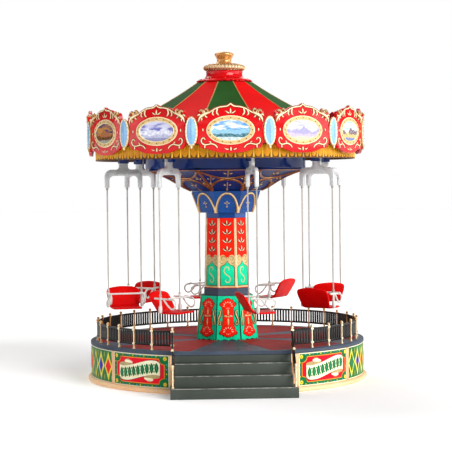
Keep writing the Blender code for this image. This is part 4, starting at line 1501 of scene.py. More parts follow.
@dataclass
class Column:
    """The eight-sided column with its painted boards and panels; its radii are those of its corners."""

    skirt: Tier = ((30.5, 35.6), (25.8, 76.4))
    board: Pair = (35.9, 76.0)
    board_gap: float = 0.75
    wave: Line = (
        (0.0, 0.2), (0.18, 0.9), (0.36, 1.2), (0.54, 0.5), (0.7, 0.2), (0.8, 0.9), (0.88, 1.1), (0.95, 0.4),
        (1.0, 0.0),
    )
    cartouche: Line = (
        (0.0, 39.2), (1.5, 39.0), (2.6, 40.0), (4.0, 39.8), (5.2, 41.2), (6.9, 41.5), (7.7, 43.2),
        (7.0, 44.8), (5.9, 46.4), (5.2, 50.0), (4.7, 55.0), (4.6, 60.0), (4.9, 64.0), (5.5, 65.8),
        (6.9, 67.2), (7.0, 69.0), (6.0, 70.0), (5.0, 70.6), (4.2, 72.4), (2.6, 72.6), (1.4, 73.8),
        (0.0, 73.6),
    )
    fan: tuple[float, ...] = (-96, -64, -32, 0, 32, 64, 96)
    foot_fan: tuple[float, ...] = (145, 180, 215)
    collar: Pair = (22.6, 82.8)
    shaft: Tier = ((21.6, 83.1), (19.8, 146.9))
    strip: float = 1.05
    ground_arch: Line = (
        (6.6, 112.0), (5.6, 113.2), (3.8, 113.5), (2.2, 112.6), (1.1, 111.3), (0.0, 110.8),
    )
    leaf_levels: tuple[float, ...] = (140.0, 132.2, 124.4, 116.6)
    panel: Line = (
        (0.0, 85.6), (6.2, 85.6), (6.2, 101.4), (5.0, 103.0), (2.6, 104.0), (1.2, 105.6), (0.0, 107.4),
    )
    scroll: Line = (
        (0.5, 109.4), (1.2, 111.2), (3.2, 112.2), (5.2, 111.2), (5.3, 109.2), (3.8, 108.3), (2.8, 109.4),
        (3.7, 110.3),
    )
    scroll_tail: Line = ((6.9, 110.0), (6.8, 107.2), (5.2, 105.4), (3.6, 106.4), (4.6, 107.4))
    upper_curl: Line = (
        (0.4, 95.0), (2.3, 96.6), (3.0, 99.2), (1.7, 102.0), (-0.6, 102.2), (-1.6, 100.2), (-0.4, 99.0),
        (0.5, 99.8),
    )
    lower_curl: Line = (
        (0.4, 95.0), (-1.8, 93.2), (-2.6, 90.8), (-1.4, 88.6), (0.8, 88.2), (1.8, 89.8), (0.8, 91.0),
        (0.0, 90.4),
    )

    def plates(
        self, name: str, tier: Tier, outlines: Sequence[Sequence[Pair]], paint: Paint, rise: float,
        edge: float = 0.0,
    ) -> None:
        """Flat plates laid on every side of a tier, as one piece."""
        parts = (wrapped(plated(o, rise, 0.3, edge), mapper) for mapper in facets(tier) for o in outlines)
        finished(name, gathered(parts), paint, body="base", slot=self.slot(tier))

    def outlined(self, name: str, tier: Tier, strokes: Sequence[Stroke], paint: Paint, line: float) -> None:
        """Raised strokes on every side of a tier, over a dark outline that stands out beside them.

        Args:
            name: The piece's name.
            tier: The tier.
            strokes: What is raised on each side.
            paint: The finish.
            line: How much wider the outline is.
        """
        add = partial(finished, body="base", slot=self.slot(tier), crease=RELIEF_CREASE)
        add(f"{name}_lines", relief(tier, [stroke.widened(line, 0.35) for stroke in strokes], 4), OUTLINE)
        add(name, relief(tier, strokes), paint)

    def slot(self, tier: Tier) -> str:
        """The record's slot for a tier's paint."""
        return "board_paint" if tier == self.skirt else "shaft_paint"

    def core(self, tier: Tier, inset: float) -> BMesh:
        """A tier's plain body, with its corners let in."""
        (low_radius, low), (high_radius, high) = tier
        return prism([(0.0, high), (high_radius - inset, high), (low_radius - inset, low), (0.0, low)])

    def rays(self, height: float, turns: Sequence[float], reach: Pair, size: float) -> list[Stroke]:
        """Rays about a point on a side's middle line; turn 0 points up.

        Args:
            height: The point's height.
            turns: The way each ray points.
            reach: Where a ray starts and ends.
            size: Its width.

        Returns:
            The rays.
        """
        shares = (reach[0], sum(reach) / 2, reach[1])
        rays = []
        for across, up in ((math.sin(turn), math.cos(turn)) for turn in map(math.radians, turns)):
            line = tuple((share * across * 1.15, height + share * up) for share in shares)
            rays.append(Stroke(line, size, (0.35, 1.0, 0.5), 2))
        return rays

    def build_skirt(self) -> None:
        """The eight painted boards with their wavy feet, and the core that they stand on."""
        skirt, (low, high) = self.skirt, self.board
        core = self.core(skirt, 1.3)
        finished("skirt_core", core, SLATE, "column_skirt", body="base", slot="board_paint")
        foot, top = (half_side(skirt, height) - self.board_gap for height in self.board)
        board = both_sides([*((share * foot, low + rise) for share, rise in self.wave), (top, high)])
        self.plates("skirt_boards", skirt, [board], TURQUOISE, 0.0)
        cartouche = both_sides(smooth(self.cartouche, 2))
        edge = [(x * 1.1, 56.4 + (z - 56.4) * 1.03) for x, z in cartouche]
        self.plates("board_outlines", skirt, [edge], OUTLINE, 0.12)
        self.plates("board_cartouches", skirt, [cartouche], BOARD_RED, 0.3, 0.1)
        suns = self.rays(44.2, self.fan, (2.0, 4.6), 1.15) + self.rays(43.4, self.foot_fan, (1.0, 2.6), 1.0)
        suns += self.rays(67.4, self.fan, (1.9, 4.4), 1.1) + self.rays(66.6, self.foot_fan, (0.9, 2.4), 0.95)
        self.outlined("board_suns", skirt, suns, LEAF_CREAM, 0.95)
        arm = Stroke(((1.1, 57.4), (2.4, 58.0), (4.0, 57.4)), 1.9, (0.7, 1.0, 0.5), 2)
        cross = [
            arm, arm.mirrored(),
            Stroke(((0.0, 59.0), (0.0, 61.2), (0.0, 64.2)), 1.9, (0.6, 1.0, 0.5), 2),
            Stroke(((0.0, 55.8), (0.0, 53.2), (0.0, 49.8)), 2.0, (0.6, 1.0, 0.6), 2),
            Stroke(((0.0, 56.8), (0.0, 58.0)), 1.9, (0.9, 1.0, 0.9), 2),
        ]
        self.outlined("board_crosses", skirt, cross, BAND_TAN, 1.2)
        curl = ((9.2, 51.8), (9.0, 54.6), (7.9, 57.6), (6.9, 60.4), (7.1, 62.4), (8.4, 63.0))
        hook = ((9.2, 52.0), (8.0, 50.0), (6.8, 51.0), (7.1, 53.0), (7.9, 53.4))
        curls = paired([Stroke(curl, 2.0, (0.3, 1.0, 0.5), 2), Stroke(hook, 1.1, (0.8, 1.0, 0.5), 2)])
        self.outlined("board_curls", skirt, curls, SCROLL_TAN, 1.1)

    def build_collar(self) -> None:
        """The slate collar over the boards."""
        radius, top = self.collar
        low = self.skirt[1][1] + 0.1
        curve = [(radius - 0.5, top), (radius, top - 0.9), (radius - 0.2, top - 2.6), (radius, low + 0.8)]
        shape = prism([(0.0, top), *smooth(curve, 3), (radius, low), (0.0, low)])
        finished("collar", shape, SLATE, "column_collar", body="base", slot="collar_paint")

    def build_shaft(self) -> None:
        """The shaft's painted sides: red above, a scroll band and a turquoise panel below."""
        shaft, low, high = self.shaft, self.shaft[0][1], self.shaft[1][1]
        add = partial(finished, body="base", slot="shaft_paint")
        add("shaft_core", self.core(shaft, 0.0), BOARD_RED, "column_shaft")
        inner = half_side(shaft, low) - 0.2
        ground = both_sides([(inner, low + 0.4), (inner, 109.6), *self.ground_arch])
        self.plates("shaft_grounds", shaft, [ground], BAND_TAN, 0.15)
        low, high = low + 0.6, high - 0.3
        foot, top = half_side(shaft, low), half_side(shaft, high)
        strip = [(foot - self.strip, low), (foot, low), (top, high), (top - self.strip, high)]
        mirrored = [(-x, z) for x, z in reversed(strip)]
        self.plates("shaft_strips", shaft, [strip, mirrored], STRIP_CREAM, 0.35)
        leaves = []
        for z in self.leaf_levels:
            side = Stroke(((0.6, z + 0.2), (2.4, z + 1.0), (4.0, z + 3.0)), 1.25, (0.3, 1.0, 0.1))
            middle = Stroke(((0.0, z + 0.9), (0.0, z + 2.9), (0.0, z + 5.1)), 1.35, (0.3, 1.0, 0.1))
            leaves += [middle, side, side.mirrored()]
        self.outlined("shaft_leaves", shaft, leaves, LEAF_CREAM, 1.3)
        scroll = Stroke(self.scroll, 0.65, (0.8, 1.0, 0.6), 2)
        tail = Stroke(self.scroll_tail, 0.65, (0.6, 1.0, 0.5), 2)
        add("shaft_scrolls", relief(shaft, paired([scroll, tail]), 5), SCROLL_BROWN, crease=RELIEF_CREASE)
        panel = both_sides(self.panel)
        edge = [(x * 1.09, 95.6 + (z - 95.6) * 1.05) for x, z in panel]
        self.plates("shaft_panel_edges", shaft, [edge], OUTLINE, 0.3)
        self.plates("shaft_panels", shaft, [panel], TURQUOISE, 0.42, 0.1)
        curls = (self.upper_curl, self.lower_curl)
        marks = [Stroke(points, 1.6, (1.0, 0.95, 0.5), 2).mirrored() for points in curls]
        self.outlined("shaft_curls", shaft, marks, SCROLL_TAN, 1.1)

    def build(self) -> None:
        """Make the column's pieces."""
        self.build_skirt()
        self.build_collar()
        self.build_shaft()


@dataclass
class Capital:
    """The blue two-tier capital under a lacework of bronze arches; its radii are those of its corners."""

    neck: tuple[float, float, float] = (19.4, 147.2, 152.1)
    lower: Line = ((26.1, 152.1), (32.9, 168.9), (34.0, 171.6))
    upper: Line = (
        (34.0, 171.9), (41.5, 175.2), (50.9, 180.5), (60.5, 185.3), (68.0, 188.2), (76.0, 190.6),
    )
    top: float = 191.4
    arch: Line = (
        (-0.98, 0.0), (-0.92, 0.15), (-0.83, 0.34), (-0.62, 0.62), (-0.34, 0.83), (0.0, 0.9)
    )
    corner: Line = ((0.96, 0.01), (0.97, 0.12), (0.98, 0.3))
    low_arc: Line = ((-0.97, 0.03), (-0.82, 0.26), (-0.45, 0.48), (0.0, 0.57))
    high_arc: Line = ((-0.97, 0.95), (-0.72, 0.77), (-0.36, 0.64), (0.0, 0.6))
    edge: Line = ((0.97, 0.06), (0.975, 0.5), (0.98, 0.94))
    florets: tuple[tuple[float, float, float], ...] = (
        (0.0, 0.26, 3.0), (0.0, 0.8, 3.6), (-0.72, 0.56, 3.0), (0.72, 0.56, 3.0),
    )

    def spot(self, tier: Sequence[Pair], share: float, up: float) -> Pair:
        """A place on a tier's side from its shares of the half width and of the height."""
        height = tier[0][1] + (tier[-1][1] - tier[0][1]) * up
        return share * half_side(tier, height), height

    def stroke(
        self, tier: Sequence[Pair], shares: Sequence[Pair], width: float, taper: tuple = (1, 1, 1)
    ) -> Stroke:
        """A stroke through places given as shares of a side."""
        return Stroke(tuple(self.spot(tier, *share) for share in shares), width, taper)

    def floret(self, tier: Sequence[Pair], share: float, up: float, size: float) -> list[Stroke]:
        """Three small leaves over a bud.

        Args:
            tier: The tier.
            share: Its place as a share of the side's half width.
            up: Its place as a share of the tier's height.
            size: Its size.

        Returns:
            The strokes.
        """
        x, z = self.spot(tier, share, up)
        marks = [Stroke(((x, z - size * 1.5), (x, z - size * 0.9)), size * 0.75, (0.6, 1.0, 0.6))]
        for dx, dz in ((-size * 1.1, 0.25 * size), (0.0, size), (size * 1.1, 0.25 * size)):
            leaf = ((x + dx * 0.3, z + dz * 0.1), (x + dx, z + dz))
            marks.append(Stroke(leaf, size * 0.48, (0.4, 1.0, 0.4)))
        marks.append(Stroke(((x, z), (x, z - size * 0.7)), size * 0.35, (1.0, 1.0, 0.6), 2))
        return marks

    def build(self) -> None:
        """Make the capital's body and its relief."""
        add = partial(finished, body="base", slot="capital_paint")
        carve = partial(add, crease=RELIEF_CREASE)
        lower, upper, (radius, low, high) = self.lower, self.upper, self.neck
        profile = [(0.0, lower[-1][1]), *reversed(lower), (radius, high), (radius, low), (0.0, low)]
        add("capital_lower_body", prism(profile), ROYAL, "capital_lower")
        profile = [(0.0, self.top), (upper[-1][0], self.top), *reversed(upper), (0.0, upper[0][1])]
        # The upper tier takes the darker blue, a painted shade under the crown.
        add("capital_upper_body", prism(profile), ROYAL_PAINTED_SHADE, "capital_upper")
        marks = [self.stroke(lower, across_all(self.arch), 2.4, (1.1, 1.0, 1.1))]
        marks += paired([self.stroke(lower, self.corner, 2.9, (1.0, 0.8, 0.1))])
        carve("capital_lower_arches", relief(lower, marks), ARCH_GOLD)
        carve("capital_lower_florets", relief(lower, self.floret(lower, 0.0, 0.42, 2.4)), FLORET_GOLD)
        arcs = (self.low_arc, self.high_arc)
        marks = [self.stroke(upper, across_all(half), 2.9, (0.9, 1.0, 0.9)) for half in arcs]
        marks += paired([self.stroke(upper, self.edge, 1.9)])
        marks.append(self.stroke(upper, [(-1.0, 0.985), (0.0, 0.985), (1.0, 0.985)], 1.4))
        carve("capital_upper_arches", relief(upper, marks), BRONZE)
        marks = [mark for spot in self.florets for mark in self.floret(upper, *spot)]
        carve("capital_upper_florets", relief(upper, marks), FLORET_GOLD)


@dataclass
class TurningHead:
    """The drum with its arms, the pleated valance, the striped roof and what stands on top."""

    drum_radius: float = 73.8
    drum_low: float = 191.8
    ceiling: float = 212.0
    first_arm: float = 11.64
    arms: int = 8
    arm_radius: float = 95.4
    pin: Pair = (1.2, 201.5)
    fork: float = 1.9
    cheek: float = 2.4
    valance: tuple[float, float, float] = (118.0, 119.3, 200.1)
    tongues: int = 95
    gores: int = 12
    gore_curve: Line = (
        (126.1, 226.4), (124.6, 227.6), (98.0, 233.9), (74.0, 242.6), (62.5, 248.7), (43.0, 259.9),
        (25.9, 271.0),
    )
    cap: Line = (
        (16.9, 281.4), (16.6, 279.4), (17.2, 277.0), (18.6, 275.4), (20.8, 274.6), (23.6, 274.1),
    )
    rope: tuple[float, float, float] = (16.7, 284.85, 1.9)
    knob: Line = (
        (4.5, 299.7), (7.6, 298.8), (8.8, 297.3), (7.9, 295.0), (6.6, 292.4), (6.6, 290.6)
    )
    knob_foot: Line = ((8.2, 289.2), (11.0, 288.6), (14.2, 288.3), (15.0, 287.9))

    def build_drum(self) -> None:
        """The drum, and an arm with two cheeks and a pin for each swing."""
        out, low, top = self.drum_radius, self.drum_low, self.ceiling
        edge = [(out, low + 1.0), (out - 0.3, low + 0.3), (out - 1.0, low)]
        side, reach, (pin, height) = self.fork + self.cheek, self.arm_radius, self.pin
        arm_low = height + 4.8
        arm = [block((-side, -reach - 5.0, arm_low), (side, 3.0 - out, top), 0.4)]
        for left, right in ((-side, -self.fork), (self.fork, side)):
            arm.append(block((left, -reach - 4.4, height - 3.9), (right, 4.4 - reach, arm_low + 1.0), 0.4))
        arm.append(rod(pin, 2 * (side + 0.3), shifted(0.0, -reach, height) @ tipped(90, "Y")))
        arms = repeated(gathered(arm), around(self.arms, first=self.first_arm))
        shape = gathered([turned([(0.0, top), (out, top), *edge, (0.0, low)], 96), arms])
        # The drum's darker blue is a painted shade under the roof.
        finished("drum_and_arms", shape, DRUM_BLUE_PAINTED_SHADE, "swing_drum", body="rotor", slot="capital_paint")

    def build_valance(self) -> None:
        """The pleated fringe: wide tongues point down and narrow ones point up between them."""
        add = partial(finished, body="rotor", slot="valance_paint")
        inner, outer, low = self.valance
        back, top = outer - 0.5, self.ceiling
        face = [(back, top), (back, low + 1.1), (outer, low + 0.9), (outer, low)]
        # The ring's dark brown shows between the tongues and along the bottom edge: a painted shade.
        add("valance_ring", turned([(inner, top), *face, (inner, low)], 128), SCROLL_BROWN, "valance")
        wide, narrow, core = (
            Stroke(tuple((0.0, height) for height in heights), width, taper, flat=flat)
            for heights, width, taper, flat in (
                ((211.7, 208.5, 204.6, 201.4), 6.6, (0.96, 1.0, 0.3), 0.16),
                ((200.9, 204.0, 208.0, 211.4), 1.7, (1.0, 0.9, 0.7), 0.7),
                ((211.7, 208.0, 202.4), 1.3, (1.0, 1.0, 0.2), 0.95),
            )
        )
        # The cores, lighter strokes down the middle of each wide tongue, are a painted highlight.
        wall, half = on_wall(back - 0.05, 0.0), 180.0 / self.tongues
        for name, stroke, first, sides, paint in (
            ("tongues", wide, 0.0, 10, AMBER), ("ribs", narrow, half, 8, FRINGE_LIGHT),
            ("cores", core, 0.0, 6, FRINGE_LIGHT),
        ):
            shape = repeated(stroke.raised(wall, sides), around(self.tongues, first=first))
            add(f"valance_{name}", shape, paint, crease=50.0)

    def build_roof(self) -> None:
        """Twelve gores, red and green by turns, with a pale seam between them."""
        add = partial(finished, body="rotor", slot="roof_paint")
        base, edge = self.ceiling + 0.3, self.gore_curve[0]
        curve = smooth(self.gore_curve[1:], 2)
        profile = [(0.0, base), (edge[0], base), edge, *curve, (0.0, curve[-1][1])]
        wide, half = 360.0 / self.gores, self.gores // 2
        for start, name, paint, *nodes in ((0.0, "green", ROOF_GREEN, "roof"), (wide, "red", ROOF_RED)):
            gore = bmesh.new()
            rim = [gore.verts.new((0.0, -radius * MM, height * MM)) for radius, height in profile]
            face = gore.faces.new(rim)
            carried(gore, place(-wide / 2))
            bmesh.ops.spin(
                gore, geom=[face, *face.verts, *face.edges], cent=(0, 0, 0), axis=(0, 0, 1), steps=1,
                angle=math.radians(wide), use_duplicate=False,
            )
            shape = repeated(closed_up(gore), around(half, first=start))
            add(f"roof_{name}_gores", shape, paint, *nodes, crease=20.0)
        path = [Vector((0.0, -radius * MM, height * MM)) for radius, height in curve]
        seam = swept(path, [0.5 * MM] * len(path), [Vector((0.0, -0.35, 0.94))] * len(path), 6, 0.8)
        add("roof_seams", repeated(seam, around(self.gores, first=wide / 2)), SEAM)

    def build_top(self) -> None:
        """The red cap with its nails and scalloped skirt, the rope ring and the finial."""
        add_cap = partial(finished, body="rotor", slot="cap_paint")
        add_gold = partial(finished, body="rotor", slot="gold_paint")
        profile = [(0.0, 282.0), (16.4, 282.0), *smooth(self.cap), (24.4, 273.4), (24.3, 271.6), (0.0, 271.3)]
        add_cap("cap", turned(profile, 72), CROWN_RED, "roof_cap")
        scallop = ball((4.4, 3.0, 1.15), shifted(0.0, -23.0, 272.9) @ tipped(12), 20)
        add_cap("cap_scallops", repeated(scallop, around(20)), CROWN_RED)
        nail = carried(dot(0.0, 0.0, 0.62, 0.5), tipped(-40))
        add_cap("cap_nails", repeated(nail, around(10, 22.4, 274.3)), CAP_GOLD)
        out, height, thick = self.rope
        ring = turned([(out + thick * x, height + thick * z) for x, z in ellipse(1.0, 1.0, steps=10)], 60)
        disc = turned([(0.0, 286.6), (16.0, 286.6), (16.0, 282.4), (0.0, 282.4)], 48)
        add_gold("rope_core", gathered([ring, disc]), SHOULDER_GOLD, "rope_ring")
        bead = ball((1.2, 2.5, 2.8), shifted(0.0, -out - 0.2, height) @ tipped(34, "Y"))
        add_gold("rope_twist", repeated(bead, around(36)), GILT)
        curve = [*smooth(self.knob, 3), *smooth(self.knob_foot, 3)]
        finial = turned([(0.0, 300.0), *curve, (14.8, 287.5), (0.0, 287.5)], 48)
        add_gold("finial_knob", finial, CAP_GOLD, "finial")

    def build(self) -> None:
        """Make the turning head's pieces."""
        self.build_drum()
        self.build_valance()
        self.build_roof()
        self.build_top()


@dataclass
class Crown:
    """The crown round the roof: twelve red panels with gilt scrolls and views, and an oval at each corner."""

    panel_out: float = 124.6
    back: float = 122.1
    band_out: float = 123.4
    band: Pair = (212.4, 228.6)
    oval_out: float = 128.3
    oval_lean: float = 8.0
    oval_centre: float = 222.7
    oval_half: Pair = (4.4, 11.6)
    view_centre: float = 223.6
    view_half: Pair = (16.9, 8.9)
    frame_half: Pair = (18.5, 10.35)
    outline: Line = (
        (0.0, 204.4), (5.6, 204.6), (11.0, 205.1), (16.0, 206.6), (20.5, 208.2), (24.0, 208.2),
        (26.5, 210.4), (27.8, 215.6), (28.2, 221.0), (27.2, 228.0), (28.6, 233.0), (27.6, 238.8),
        (24.2, 240.7), (20.4, 238.4), (16.6, 240.9), (12.6, 243.0), (8.0, 244.0), (3.4, 244.9),
        (0.0, 246.5),
    )
    crest: Line = (
        (0.0, 245.8), (1.3, 244.7), (2.9, 243.7), (5.2, 243.4), (8.2, 243.1), (11.4, 242.2), (14.6, 240.6),
        (17.4, 238.8), (19.2, 238.0),
    )
    scroll: Line = (
        (21.6, 215.6), (22.4, 217.0), (24.0, 216.9), (24.9, 214.9), (24.1, 212.6), (22.0, 211.4),
        (19.4, 211.6), (16.8, 212.2), (14.4, 211.7), (12.3, 210.4), (11.4, 208.8),
    )
    shoulder: Line = (
        (17.4, 238.6), (19.6, 238.1), (22.0, 237.0), (24.4, 235.6), (26.2, 233.6), (27.1, 230.6),
    )
    views: tuple[ViewColours, ...] = (
        ViewColours.LAKE, ViewColours.MEADOW, ViewColours.DUSK, ViewColours.AUTUMN, ViewColours.SNOW,
        ViewColours.LAKE, ViewColours.MEADOW, ViewColours.DUSK, ViewColours.SNOW, ViewColours.LAKE,
        ViewColours.AUTUMN, ViewColours.SNOW,
    )

    def panel(self) -> BMesh:
        """One red panel and its length of the band behind, facing -Y.

        Returns:
            The panel with its band.
        """
        plate = plated(both_sides(smooth(self.outline, 3)), self.panel_out, -self.back, 0.35)
        half = self.band_out * math.tan(math.radians(15.0))
        strip = block((-half, -self.band_out, self.band[0]), (half, -self.back, self.band[1]), 0.2)
        return gathered([plate, strip])

    def scrolls(self) -> list[Stroke]:
        """The gilt strokes on a panel: the crest, the leaves and the lower scrolls.

        Returns:
            The strokes, on the flat panel.
        """
        middle = [
            Stroke(((0.0, 237.6), (0.0, 239.6), (0.0, 242.4)), 1.9, (0.5, 1.0, 0.15)),
            Stroke(((0.0, 209.6), (0.0, 208.0), (0.0, 206.4)), 1.8, (0.3, 1.0, 0.8)),
        ]
        right = [
            Stroke(self.crest, 1.5, (1.0, 1.0, 0.8), 2, flat=1.2),
            Stroke(((0.7, 237.9), (2.2, 238.3), (4.4, 239.9)), 1.5, (0.5, 1.0, 0.15), 3),
            Stroke(((11.0, 241.6), (11.7, 239.2), (11.1, 237.2), (9.6, 235.9)), 1.8, (0.9, 1.0, 0.15), 2),
            Stroke(((14.3, 240.0), (15.2, 238.0), (14.7, 236.6), (13.6, 235.8)), 1.5, (0.9, 1.0, 0.2), 2),
            Stroke(((23.4, 222.6), (23.4, 224.0), (23.4, 225.2)), 1.6, (0.5, 1.0, 0.3), 2),
            Stroke(self.scroll, 1.35, (0.8, 1.0, 0.9), 2),
            Stroke(((18.0, 214.2), (17.0, 213.6), (16.6, 212.3)), 1.1, (0.7, 1.0, 0.7), 2),
            Stroke(((22.0, 211.6), (21.9, 210.2), (22.0, 208.8)), 1.6, (0.4, 0.8, 0.9), 2),
            Stroke(((1.9, 207.6), (3.3, 207.4), (5.2, 208.5)), 1.4, (0.5, 1.0, 0.2), 2),
        ]
        return middle + paired(right)

    def shoulders(self) -> list[Stroke]:
        """The clusters of leaves on a panel's two upper corners.

        Returns:
            The strokes, on the flat panel.
        """
        first = ((19.2, 238.4), (19.0, 240.0), (20.2, 241.2), (21.5, 240.6))
        second = ((22.8, 237.2), (23.2, 239.2), (24.8, 240.2), (26.1, 239.2))
        return paired([
            Stroke(self.shoulder, 3.3, (0.4, 1.0, 0.2), 2, flat=1.0),
            Stroke(first, 2.1, (0.8, 1.0, 0.7), 2, flat=1.5),
            Stroke(((21.2, 238.0), (22.4, 239.4), (22.2, 240.8)), 1.6, (0.8, 1.0, 0.4), 2, flat=1.2),
            Stroke(second, 2.2, (0.8, 1.0, 0.8), 2, flat=1.5),
            Stroke(((25.2, 236.2), (26.9, 236.7), (27.9, 235.4)), 1.9, (0.7, 1.0, 0.4), 2, flat=1.2),
            Stroke(((21.6, 236.4), (20.8, 235.0), (19.4, 234.2)), 1.6, (0.8, 1.0, 0.3), 2),
            Stroke(((24.6, 234.4), (24.2, 232.8), (24.8, 231.2)), 1.5, (0.8, 1.0, 0.2), 2),
        ])

    def hoop(self, half: Pair, width: float, flat: float, centre: float) -> Stroke:
        """An oval ring about a height."""
        return Stroke(tuple(ellipse(*half, (0.0, centre), 40)), width, (1, 1, 1), 1, True, flat)

    def folded(self, across: float, up: float) -> tuple[Vector, Vector]:
        """A place on the surface of an oval, which is folded along its upright middle.

        Args:
            across: Distance from the fold, in metres.
            up: Height, in metres.

        Returns:
            The point and the normal there.
        """
        side = (across > 1e-6) - (across < -1e-6)
        lean = math.radians(self.oval_lean)
        normal = Vector((side * math.sin(lean), -math.cos(lean), 0.0)) if side else Vector((0.0, -1.0, 0.0))
        return Vector((across, abs(across) * math.tan(lean) - self.oval_out * MM, up)), normal

    def twelve(
        self, name: str, parts: Iterable[BMesh], paint: Paint, first: float = 0.0, crease: float = 35.0
    ) -> None:
        """Shapes repeated at every panel, or at every corner, as one piece."""
        shape = repeated(gathered(parts), around(12, first=first))
        finished(name, shape, paint, body="rotor", slot="crown_paint", crease=crease)

    def build_panels(self) -> None:
        """The red panels in four quarters, their scrolls, and the frames round the views."""
        add = partial(finished, body="rotor", slot="crown_paint")
        for i, quarter in enumerate(("front", "right", "back", "left")):
            turns = [place(90.0 * i + 30.0 * k) for k in (-1, 0, 1)]
            add(f"crown_{quarter}_panels", repeated(self.panel(), turns), CROWN_RED, f"crown_{quarter}")
        flat = on_facet([(self.panel_out, 200.0), (self.panel_out, 250.0)], 0.0)
        carve = partial(self.twelve, crease=RELIEF_CREASE)
        scrolls, shoulders = self.scrolls(), self.shoulders()
        carve("crown_scrolls", (stroke.raised(flat) for stroke in scrolls), GILT)
        carve("crown_shoulders", (stroke.raised(flat) for stroke in shoulders), SHOULDER_GOLD)
        # Dark red strokes a little wider than the gilt ones lie under them: a painted shadow beside the
        # relief.
        painted_shadows = (stroke.widened(0.8, 0.25).raised(flat, 4) for stroke in scrolls + shoulders)
        carve("crown_painted_shadows", painted_shadows, CROWN_PAINTED_SHADOW)
        (wide, high), centre = self.frame_half, self.view_centre
        carve("view_frames", [self.hoop((wide, high), 3.3, 0.45, centre).raised(flat, 8)], FRAME_GOLD)
        edges = (
            self.hoop((wide + step, high + step), 0.95, flatness, centre).raised(flat)
            for step, flatness in ((1.55, 1.2), (-1.45, 2.0))
        )
        carve("view_edges", edges, EDGE_CREAM)
        lift = shifted(y=-self.panel_out - 0.6)
        nails = (carried(dot(x, z, 0.6, 0.45, 6), lift) for x, z in ellipse(wide, high, (0.0, centre), 16))
        self.twelve("view_nails", nails, GILT_DOTS)

    def build_views(self) -> None:
        """The painted view in each panel's frame."""
        (wide, high), centre = self.view_half, self.view_centre
        for i, colours in enumerate(self.views):
            oval = ellipse(wide + 0.4, high + 0.4, (0.0, centre), 40)
            shape = plated(oval, self.panel_out + 0.3, 0.5 - self.panel_out)
            layer = shape.loops.layers.uv.new("oval")
            for loop in (loop for face in shape.faces for loop in face.loops):
                spot = loop.vert.co / MM
                loop[layer].uv = (spot.x / wide, (spot.z - centre) / high)
            carried(shape, place(30.0 * i))
            view = PaintedView(colours, 3.7 * i)
            finished(f"view_{i + 1:02d}", shape, view, body="rotor", slot="crown_paint")

    def build_ovals(self) -> None:
        """The pale blue ovals over the corners, with their rims, nails and tassels."""
        add = partial(self.twelve, first=15.0)
        (wide, high), middle = self.oval_half, self.oval_centre
        centre = (0.0, middle)
        blank = plated(ellipse(wide + 0.9, high + 0.9, centre, 36), 0.25, 1.2, 0.2)
        add("oval_backs", [wrapped(blank, self.folded, wide + 1.0)], GILT_SHADE)
        face = plated(ellipse(wide, high, centre, 36), 0.55, 0.2, 0.25)
        add("oval_faces", [wrapped(face, self.folded, wide + 0.1)], OVAL_BLUE)
        line = Stroke(((0.0, middle - high + 1.5), centre, (0.0, middle + high - 1.5)), 0.45, (0.4, 1.0, 0.4))
        add("oval_folds", [carried(line.raised(self.folded), shifted(y=-0.5))], OVAL_LINE)
        hoop = self.hoop((wide + 0.2, high + 0.2), 1.9, 1.0, middle)
        tassel = Stroke(((0.0, 211.0), (0.0, 209.6), (0.0, 208.0)), 2.2, (0.3, 1.0, 0.4), flat=0.9)
        rims = (mark.raised(self.folded) for mark in (hoop, tassel))
        add("oval_rims", rims, LEAF_CREAM, crease=RELIEF_CREASE)
        nails = (
            wrapped(carried(dot(0.0, 0.0, 0.32, 0.3, 6), shifted(x, -0.85, z)), self.folded)
            for x, z in ellipse(wide + 0.25, high + 0.25, centre, 22)
        )
        add("oval_nails", nails, GILT_DOTS)

    def build(self) -> None:
        """Make the crown's pieces."""
        self.build_panels()
        self.build_views()
        self.build_ovals()


